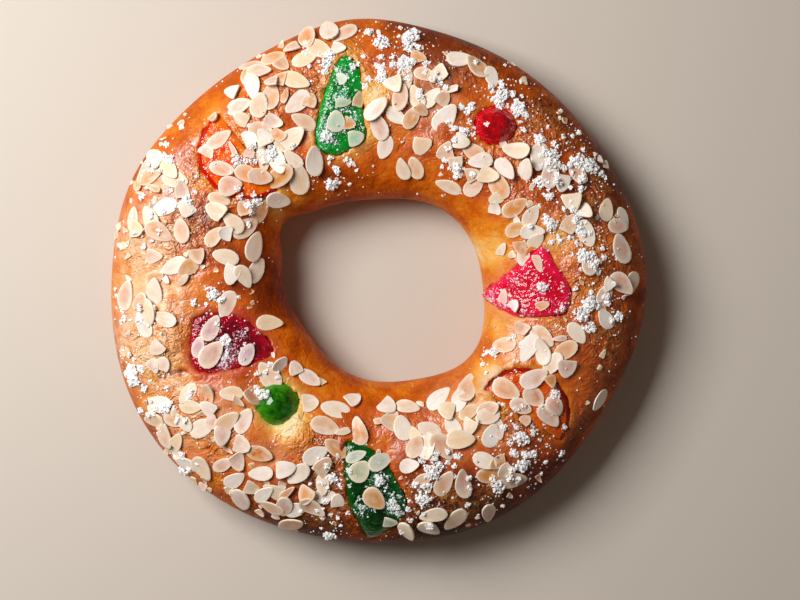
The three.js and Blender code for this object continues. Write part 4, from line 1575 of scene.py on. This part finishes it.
@dataclass(frozen=True)
class BakedCrust(Finish):
    """Sweet yeast dough brushed with egg and baked.

    The egg dries to a thin brown glaze, so the crust is golden to amber with a broad soft
    shine, darker where it stood nearest the heat and pale where the fruit kept it moist.
    Painted shade darkens it in places, a paler tan painted on the crests of the folds stands
    for their highlights, and a pale peach painted sheen lies over parts of it.
    Patterns are (distance in millimetres, detail, bend).
    """

    name: str = "egg-glazed baked crust"
    stops: tuple[tuple[float, str], ...] = (
        (0.0, "f8deb4"),
        (0.2, "f1b45c"),
        (0.4, "e2851c"),
        (0.56, "c85a06"),
        (0.74, "8e3400"),
        (1.0, "380f00"),
    )
    crest_highlight: str = "e0a050"  # painted highlight on the crests of the folds
    sole: str = "a8662c"  # the underside, which the tray kept from the heat
    mottle: Texture = (11.0, 5, 0.4)  # patches of uneven browning
    speck: Texture = (2.2, 5, 0.0)  # small darker and lighter spots
    wrinkle: Texture = (5.8, 2, 1.5)  # the fine folds of the skin
    pore: float = 1.4  # distance between burst bubbles
    relief: float = 0.0036  # height of the folds in metres
    glaze_relief: float = 0.0018  # what the glaze lying in them leaves of it

    def uniform(self) -> dict[str, object]:
        """A thin glaze over bread that lets a little light in."""
        return {
            "IOR": 1.4,
            "Specular IOR Level": 0.12,
            "Coat Roughness": 0.33,
            "Coat IOR": 1.6,
            "Coat Tint": linear("fff0dc"),
        }

    def varied(self, tree: bpy.types.NodeTree) -> dict[str, bpy.types.Node]:
        """Browning, painted shade, highlight and sheen, mottling, roughness and the skin's relief.
        """
        add = partial(add_node, tree)
        place = add("TexCoord", {}).outputs["Object"]
        # brown holds the browning together with its painted shade
        brown, under, skin, glazed = (
            add("Attribute", {}, attribute_name=name).outputs["Fac"]
            for name in ("browning_and_shade", "underside", "skin", "glazed")
        )
        # syrup holds the soaked syrup and the painted sheen
        syrup = add("Attribute", {}, attribute_name="syrup").outputs
        uneven = {"Vector": place, "Roughness": 0.62}
        mottles, specks, wrinkles = (
            add(
                "TexNoise",
                uneven | {"Scale": per_metre(size), "Detail": detail, "Distortion": bend},
            )
            for size, detail, bend in (self.mottle, self.speck, self.wrinkle)
        )
        level = add("Math", {0: mottles, 1: 0.5, 2: brown}, operation="MULTIPLY_ADD")
        level = add("Math", {0: specks, 1: 0.2, 2: level}, operation="MULTIPLY_ADD")
        level = add("Math", {0: level, 1: 0.36}, operation="SUBTRACT")
        base = add("ValToRGB", {"Fac": level}, stops=self.stops)
        # painted highlight: the crests of the folds turn paler tan, most where the skin is wrinkled
        crests = {"Value": wrinkles, "From Min": 0.42, "From Max": 0.62, "To Max": 0.42}
        folded = add("Math", {0: skin, 1: 2.0}, operation="POWER")
        crest_highlight = add("Math", {0: add("MapRange", crests), 1: folded}, operation="MULTIPLY")
        for share, colour in (
            (crest_highlight, linear(self.crest_highlight)),
            (under, linear(self.sole)),
            (syrup["Alpha"], syrup["Color"]),
        ):
            base = add("Mix", {0: share, 6: base, 7: colour}, data_type="RGBA")
        rough = add("MapRange", {"Value": specks, "To Min": 0.3, "To Max": 0.55})
        holes = {"Vector": place, "Scale": per_metre(self.pore), "Smoothness": 0.6}
        pores = add("TexVoronoi", holes, feature="SMOOTH_F1")
        height = add("Math", {0: pores, 1: 0.14, 2: wrinkles}, operation="MULTIPLY_ADD")
        height = add("Math", {0: height, 1: skin}, operation="MULTIPLY")
        bump, glaze = (
            add("Bump", {"Height": height, "Strength": 1.0, "Distance": depth})
            for depth in (self.relief, self.glaze_relief)
        )
        return {
            "Base Color": base,
            "Roughness": rough,
            "Normal": bump,
            "Coat Normal": glaze,
            "Coat Weight": add("MapRange", {"Value": glazed}),
        }


@dataclass(frozen=True)
class AlmondFlesh(Finish):
    """Blanched almond sliced raw and warmed in the oven.

    The thin slices are ivory to light tan with a creamy rim and a seam down the middle. What
    lies under the thinnest of them shows through, and a few are toasted amber.
    """

    name: str = "flaked blanched almond"
    ivory: str = "fcf2ea"
    tan: str = "f0d0a6"
    amber: str = "da8c3c"
    rim: str = "f8e9d3"
    seam: str = "d4a27c"

    def uniform(self) -> dict[str, object]:
        """Oily flesh, a little translucent."""
        return {"Roughness": 0.33, "IOR": 1.46}

    def varied(self, tree: bpy.types.NodeTree) -> dict[str, bpy.types.Node]:
        """Tone of each flake, what shows through, its rim, its seam and the grain of the cut."""
        add = partial(add_node, tree)
        rim, tone, thin, toast = (
            add("Attribute", {}, attribute_name=name).outputs["Fac"]
            for name in ("rim", "tone", "thin", "toast")
        )
        place = add("Attribute", {}, attribute_name="place").outputs["Vector"]
        shown = add("Attribute", {}, attribute_name="shown").outputs["Color"]
        cloud = add("TexNoise", {"Vector": place, "Scale": 1.3, "Detail": 2})
        cut = add("Mapping", {"Vector": place, "Scale": (2.5, 16.0, 1.0)})
        grain = add("TexNoise", {"Vector": cut, "Scale": 1.0, "Detail": 3})
        middle = {"Value": cloud, "From Min": 0.3, "From Max": 0.7}
        warm, window = (
            add("MapRange", middle | {"To Min": least, "To Max": most})
            for least, most in ((-0.3, 0.3), (0.5, 0.9))
        )
        warm = add("Math", {0: warm, 1: tone}, operation="ADD", use_clamp=True)
        window = add("Math", {0: window, 1: thin}, operation="MULTIPLY")
        browned = add("Math", {0: toast, 1: cloud}, operation="MULTIPLY")
        browned = add("Math", {0: browned, 1: 1.9}, operation="MULTIPLY", use_clamp=True)
        aside = add("SeparateXYZ", {0: place}).outputs["Y"]
        aside = add("Math", {0: cloud, 1: 0.3, 2: aside}, operation="MULTIPLY_ADD")
        aside = add("Math", {0: aside, 1: 0.15}, operation="SUBTRACT")
        aside = add("Math", {0: aside}, operation="ABSOLUTE")
        line = {"Value": aside, "From Max": 0.06, "To Min": 0.2, "To Max": 0.0}
        seam = add("MapRange", line, interpolation_type="SMOOTHSTEP")
        band = add("Math", {0: rim, 1: 0.7}, operation="MULTIPLY")
        base = linear(self.ivory)
        for share, colour in (
            (warm, linear(self.tan)),
            (window, shown),
            (browned, linear(self.amber)),
            (seam, linear(self.seam)),
            (band, linear(self.rim)),
        ):
            base = add("Mix", {0: share, 6: base, 7: colour}, data_type="RGBA")
        bump = add("Bump", {"Height": grain, "Strength": 0.4, "Distance": 0.0002})
        return {"Base Color": base, "Normal": bump}


@dataclass(frozen=True)
class DriedSugar(Finish):
    """Damp white sugar that dried on the crust.

    The crystals scatter light among themselves, so they are bright white with soft shadows.
    Those that soaked up glaze or syrup take on its colour.
    """

    name: str = "dried white sugar"
    white: str = "fffefd"

    def uniform(self) -> dict[str, object]:
        """Bright rough crystals."""
        return {"Roughness": 0.45, "IOR": 1.4}

    def varied(self, tree: bpy.types.NodeTree) -> dict[str, bpy.types.Node]:
        """White, or tinted where it soaked up colour."""
        add = partial(add_node, tree)
        glaze = add("Attribute", {}, attribute_name="glaze").outputs["Fac"]
        shown = add("Attribute", {}, attribute_name="shown").outputs["Color"]
        base = add("Mix", {0: glaze, 6: linear(self.white), 7: shown}, data_type="RGBA")
        return {"Base Color": base}


@dataclass(frozen=True)
class CandiedFlesh(Finish):
    """Fruit steeped in syrup until it turns to a clear coloured jelly.

    Light goes in and comes out deep in colour, brighter near the thin rim. The syrup on it
    shines wet, and sugar has dried on it in small crystals. Patterns are (distance in
    millimetres, detail, roughness).
    """

    name: str = "candied fruit"
    deep: str = "0a6a20"
    bright: str = "18a83c"
    frost: str = "b8e6d4"
    peel: str = "8c1208"
    membrane: str = "f59a4a"
    glow: tuple[float, float, float] = (0.001, 0.004, 0.001)
    clear: float = 0.3  # share of light that travels inside
    wet: float = 0.6
    cloud: Texture = (4.5, 4, 0.5)  # thicker and thinner jelly
    rippled: Texture = (2.4, 1, 0.5)  # ripples of the skin
    crystal: Texture = (1.4, 3, 0.8)  # dried crystals of sugar
    ripple: float = 0.0008  # height of the ripples in metres

    def uniform(self) -> dict[str, object]:
        """A wet clear jelly."""
        return {
            "IOR": 1.4,
            "Specular IOR Level": 0.15,
            "Subsurface Weight": self.clear,
            "Subsurface Radius": self.glow,
            "Subsurface Scale": 1.0,
            "Coat Weight": self.wet,
            "Coat Roughness": 0.08,
            "Coat IOR": 1.6,
        }

    def varied(self, tree: bpy.types.NodeTree) -> dict[str, bpy.types.Node]:
        """Depth of colour, peel, membranes and the crystals that dried on it."""
        add = partial(add_node, tree)
        frost, peel, membrane, clear = (
            add("Attribute", {}, attribute_name=name).outputs["Fac"]
            for name in ("frost", "peel", "membrane", "clear")
        )
        place = add("TexCoord", {}).outputs["Object"]
        cloud, fine, flecks = (
            add(
                "TexNoise",
                {"Vector": place, "Scale": per_metre(size), "Detail": detail, "Roughness": rough},
            )
            for size, detail, rough in (self.cloud, self.rippled, self.crystal)
        )
        depth = add("MapRange", {"Value": cloud, "From Min": 0.36, "From Max": 0.68, "To Max": 0.7})
        # the clear attribute paints a glow that brightens the colour towards the rim
        near = {0: clear, 1: 0.6, 2: depth}
        depth = add("Math", near, operation="MULTIPLY_ADD", use_clamp=True)
        walls = add("Math", {0: membrane, 1: 0.35}, operation="MULTIPLY")
        amount = add("Math", {0: flecks, 1: 2.0, 2: frost}, operation="MULTIPLY_ADD")
        amount = add("Math", {0: cloud, 1: 0.6, 2: amount}, operation="MULTIPLY_ADD")
        crusted = {"Value": amount, "From Min": 1.66, "From Max": 1.78, "To Max": 0.9}
        crystals = add("MapRange", crusted)
        base = linear(self.deep)
        for share, code in (
            (depth, self.bright),
            (walls, self.membrane),
            (peel, self.peel),
            (crystals, self.frost),
        ):
            base = add("Mix", {0: share, 6: base, 7: linear(code)}, data_type="RGBA")
        rough = add("MapRange", {"Value": crystals, "To Min": 0.25, "To Max": 0.5})
        height = add("Math", {0: crystals, 1: 0.5, 2: fine}, operation="MULTIPLY_ADD")
        bump, glints = (
            add("Bump", {"Height": height, "Strength": 1.0, "Distance": share * self.ripple})
            for share in (0.6, 1.3)
        )
        return {"Base Color": base, "Roughness": rough, "Normal": bump, "Coat Normal": glints}


@dataclass(frozen=True)
class PaleTable(Finish):
    """A plain matt table top that lets the bread stand out."""

    name: str = "plain pale table"

    def uniform(self) -> dict[str, object]:
        """Matt and pale all over."""
        return {"Base Color": linear("d2c7ba"), "Roughness": 0.8}


# ----------------------------------------------------------------------- fruits of this ring


def fruits() -> list[Fruit]:
    """The eight candied fruits, with what lies on them."""
    return [
        Fruit(
            name="green_wedge",
            slot="candied_green",
            cut=Cut.PIECE,
            corners=(
                (-19, 123), (-10, 114), (-9, 100), (-8, 87), (-7, 77),
                (-22, 68), (-32, 71), (-34, 79), (-31, 94), (-27, 107),
            ),
            rise=1.6, roll=4, dent=2.2, depth=7,
            flakes=(
                Topping(-20, 109, 7, 7, 20), Topping(-11, 97, 11, 6, 80),
                Topping(-17, 85, 10, 7, -20), Topping(-13, 77, 11, 9, 20),
            ),
            lumps=((-28, 78, 4.4),),
            slivers=(Topping(-23, 86, 12, 10, 100), Topping(-20, 96, 11, 5, 5)),
            frost=((-28, 79, 5, 0.5), (-20, 97, 4, 0.55), (-19, 112, 3, 0.4), (-13, 87, 4, 0.3)),
            shows="6fd0ae",
            syrup="d8c070",
            soaked=0.35,
        ),
        Fruit(
            name="green_strip",
            slot="candied_green",
            cut=Cut.PIECE,
            corners=(
                (-17, -87), (-3, -91.5), (7, -103), (14, -116), (15.5, -125), (11, -132),
                (1, -140), (-6, -141), (-11.5, -130), (-16, -121), (-18, -104),
            ),
            rise=1.8, roll=4, dent=2.2, depth=7,
            flakes=(
                Topping(-12, -95, 12, 6, 25), Topping(-10, -103, 13, 11, 60),
                Topping(1, -98, 15, 9, 25), Topping(-2, -118, 14, 11, -50),
                Topping(5, -131, 11, 6, -15),
            ),
            lumps=((1, -108, 3.8), (8, -122, 3.2)),
            frost=((1, -108, 5, 0.32), (8, -121, 5, 0.36), (-8, -124, 4, 0.34)),
            shows="5aa07c",
        ),
        Fruit(
            name="pink_wedge",
            slot="candied_pink",
            cut=Cut.PIECE,
            corners=(
                (57, -8), (67, 1), (77, 9), (89, 18.5), (96, 8), (103, -2),
                (104, -10), (101, -18), (90, -19.5), (77, -20), (67, -16),
            ),
            rise=2.2, roll=3, dent=1.5, depth=6,
            flakes=(
                Topping(86, 10, 12, 5, -70), Topping(68, -10, 11, 6, 70),
                Topping(88, -14, 10, 5, 15),
            ),
            lumps=((89, -4, 3),),
            slivers=(Topping(74, -14.5, 8, 7, 40),),
            frost=(
                (60, -9, 4, 0.34), (69, -14, 4, 0.3), (82, -19, 4, 0.26), (72, -1, 4, 0.24),
                (100, -14, 5, 0.26), (86, -6, 4, 0.12),
            ),
            dusting=0.04,
            shows="e57a9a",
            syrup="e07a60",
            soaked=0.45,
        ),
        Fruit(
            name="purple_slice",
            slot="candied_purple",
            cut=Cut.PIECE,
            corners=(
                (-99, -21), (-87, -18), (-74, -20.5), (-63, -29), (-57, -38),
                (-64, -44), (-84, -49), (-97, -50), (-101, -42), (-101, -31),
            ),
            rise=0.8, roll=5, dent=3, depth=7,
            flakes=(
                Topping(-97, -36, 12, 7, 75), Topping(-90, -26, 15, 9, 60),
                Topping(-90, -40, 17, 11, 55), Topping(-71, -40, 13, 8, 60),
            ),
            lumps=((-82, -33, 3.2),),
            frost=(
                (-80, -38, 5, 0.34), (-73, -29, 3, 0.3), (-84, -46, 4, 0.34), (-97, -24, 3, 0.24),
            ),
            dusting=0.06,
            shows="a8527c",
            syrup="b4322c",
            soaked=0.75,
            wrinkle=0.4,
        ),
        Fruit(
            name="orange_slice_upper",
            slot="candied_orange",
            cut=Cut.HALF_SLICE,
            centre=(-71, 70), radius=26.5, bearing=-142,
            rise=1.4, roll=3, dent=1.5, depth=6,
            flakes=(
                Topping(-86, 76, 15, 8, 35), Topping(-93, 69, 10, 9, 60),
                Topping(-84, 60, 14, 8, -15), Topping(-80, 51, 13, 11, 10),
                Topping(-70, 57, 16, 9, -28),
            ),
            slivers=(
                Topping(-64, 56, 14, 9, -15), Topping(-70, 76, 11, 9, 10),
                Topping(-89, 87, 7, 6, 60), Topping(-70, 68, 8, 6, 80),
                Topping(-60, 66, 10, 4.5, 115), Topping(-78, 70, 11, 3, 115),
            ),
            lumps=((-76, 65, 3.6),),
            shows="ee7a38",
            syrup="e89030",
            soaked=0.4,
        ),
        Fruit(
            name="orange_slice_lower",
            slot="candied_orange",
            cut=Cut.HALF_SLICE,
            centre=(78, -73.5), radius=26, bearing=57,
            rise=1.4, roll=3, dent=1.5, depth=6,
            flakes=(
                Topping(69, -59, 16, 11, -30), Topping(84, -63, 13, 10, -45),
                Topping(84, -53, 16, 10, 27), Topping(77, -68, 13, 8, -22),
                Topping(92, -73, 15, 10, -50),
            ),
            slivers=(
                Topping(92, -55, 9, 7, 40), Topping(95, -68, 12, 9, -60),
                Topping(79, -76, 8, 6, 30),
            ),
            lumps=((95, -62, 3.4),),
            frost=((94, -62, 4, 0.3),),
            shows="c0623a",
            syrup="b85a18",
            soaked=0.4,
        ),
        Fruit(
            name="red_cherry",
            slot="candied_red",
            cut=Cut.CHERRY,
            centre=(63.5, 84), radius=11.2, stretch=0.92,
            rise=6, roll=9, dent=4, depth=8,
            dusting=0.0,
            wrinkle=0.35,
            shows="c0304a",
            syrup="a83a20",
            soaked=0.35,
        ),
        Fruit(
            name="green_cherry",
            slot="candied_green",
            cut=Cut.CHERRY,
            centre=(-54.5, -67), radius=11.3,
            rise=6.5, roll=10, dent=4, depth=8,
            lumps=((-61, -62, 3),),
            frost=((-62, -60, 2.5, 0.4),),
            dusting=0.0,
            shows="7fae5a",
            syrup="d8cc80",
            soaked=0.4,
            wrinkle=0.1,
        ),
    ]


def fruit_finishes() -> dict[str, CandiedFlesh]:
    """The finish of each fruit, by the fruit's name."""
    red, green, amber = (0.004, 0.0006, 0.0006), (0.001, 0.004, 0.0008), (0.004, 0.0012, 0.0004)
    rows = {
        "green_wedge": ("green candied fruit", "005410", "02a22c", "bcf2e4", green),
        "green_strip": ("dark green candied fruit", "002404", "035c12", "b4e4d8", green),
        "green_cherry": ("green candied cherry", "084400", "389608", "cfe8b8", green),
        "pink_wedge": ("pink candied fruit", "c40420", "ff1650", "fdd0dc", red),
        "purple_slice": ("purple candied fruit", "5a0010", "b20824", "f0c4d8", red),
        "orange_slice_upper": ("candied orange", "e63e00", "ff7c08", "fbc49c", amber),
        "orange_slice_lower": ("dark candied orange", "c43c04", "e8680c", "eab48c", amber),
        "red_cherry": ("red candied cherry", "9c000c", "e00018", "f0a8b8", red),
    }
    more: dict[str, dict[str, object]] = {
        "green_cherry": {"ripple": 0.0001},
        "purple_slice": {"ripple": 0.001},
        "orange_slice_upper": {"peel": "c41000", "wet": 0.3},
        "orange_slice_lower": {"peel": "9c0c00", "wet": 0.3},
        "red_cherry": {"ripple": 0.0002, "wet": 0.9},
    }
    return {
        fruit: CandiedFlesh(name, deep, bright, frost, glow=glow, **more.get(fruit, {}))
        for fruit, (name, deep, bright, frost, glow) in rows.items()
    }


# ------------------------------------------------------------------------------------ studio


@dataclass
class Studio:
    """Camera, lights and table.

    The camera looks straight down. A large soft light stands low on the left and a weak one
    lifts the shadows on the right.
    """

    aim: Place = (11.74, -10.74)
    camera_height: float = 950.0
    lens: float = 75.0
    key_watts: float = 12.6
    fill_watts: float = 0.4
    sky: float = 0.08
    sky_colour: str = "ffe6cc"
    table_width: float = 6.0
    table_gap: float = 0.0002  # the table lies this far below the bread

    def lamp(self, name: str, watts: float, size: Place, place: tuple[float, float, float]) -> None:
        """Adds an upright soft light that faces the middle of the bread.

        Args:
            name: The lamp's name.
            watts: Its power.
            size: Its width and height in metres.
            place: Where it stands: distance in metres, degrees from +X towards +Y, and degrees
                above the table.
        """
        distance, azimuth, elevation = place[0], math.radians(place[1]), math.radians(place[2])
        away = Vector((math.cos(azimuth), math.sin(azimuth), math.tan(elevation))).normalized()
        data = bpy.data.lights.new(name, "AREA")
        data.shape, data.energy = "RECTANGLE", watts
        data.size, data.size_y = size
        lamp = bpy.data.objects.new(name, data)
        lamp.location = away * distance + Vector((0, 0, 0.03))
        lamp.rotation_euler = (-away).to_track_quat("-Z", "Y").to_euler()
        bpy.context.scene.collection.objects.link(lamp)

    def build(self) -> None:
        """Sets up the camera, the lights, the sky and the table."""
        scene = bpy.context.scene
        data = bpy.data.cameras.new("camera")
        data.lens, data.sensor_width = self.lens, 36.0
        camera = bpy.data.objects.new("camera", data)
        camera.location = Vector((*self.aim, self.camera_height)) * METRES
        scene.collection.objects.link(camera)
        scene.camera = camera
        self.lamp("window_light", self.key_watts, (0.55, 0.5), (1.0, 150, 49))
        self.lamp("fill_light", self.fill_watts, (1.0, 1.0), (1.2, -20, 30))
        world = bpy.data.worlds.new("studio_sky")
        world.use_nodes = True
        background = next(n for n in world.node_tree.nodes if n.type == "BACKGROUND")
        background.inputs["Color"].default_value = linear(self.sky_colour)
        background.inputs["Strength"].default_value = self.sky
        scene.world = world
        scene.view_settings.view_transform = "Standard"
        scene.view_settings.look = "None"
        select_nothing()
        bpy.ops.mesh.primitive_plane_add(size=self.table_width, location=(0, 0, -self.table_gap))
        table = bpy.context.object
        table.name = "table"
        table.data.materials.append(PaleTable().material())


# -------------------------------------------------------------------------------------- main


def main() -> None:
    """Builds the roscón piece by piece and reports each one."""
    logging.basicConfig(level=logging.INFO, format="%(message)s")
    dough = Dough(fruits())
    nodes = ["bread_ring", *(fruit.name for fruit in dough.fruits)]
    BreadRing(dough).build(BakedCrust())
    finishes = fruit_finishes()
    for fruit in dough.fruits:
        CandiedFruit(fruit, dough).build(finishes[fruit.name])
    almonds = AlmondScatter(dough)
    pile = Pile(dough, almonds.on_dough())
    for fruit in dough.fruits:
        pile.flakes.extend(almonds.on_fruit(fruit))
    pile.flakes.extend(almonds.broken_bits(pile))
    Almonds(pile, nodes).build(AlmondFlesh())
    sugar = Sugar(SugarScatter(dough), pile, nodes)
    sugar.build_lumps(DriedSugar())
    sugar.build_grains(DriedSugar("loose sugar grains"))
    Studio().build()
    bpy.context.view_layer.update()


if __name__ == "__main__":
    main()
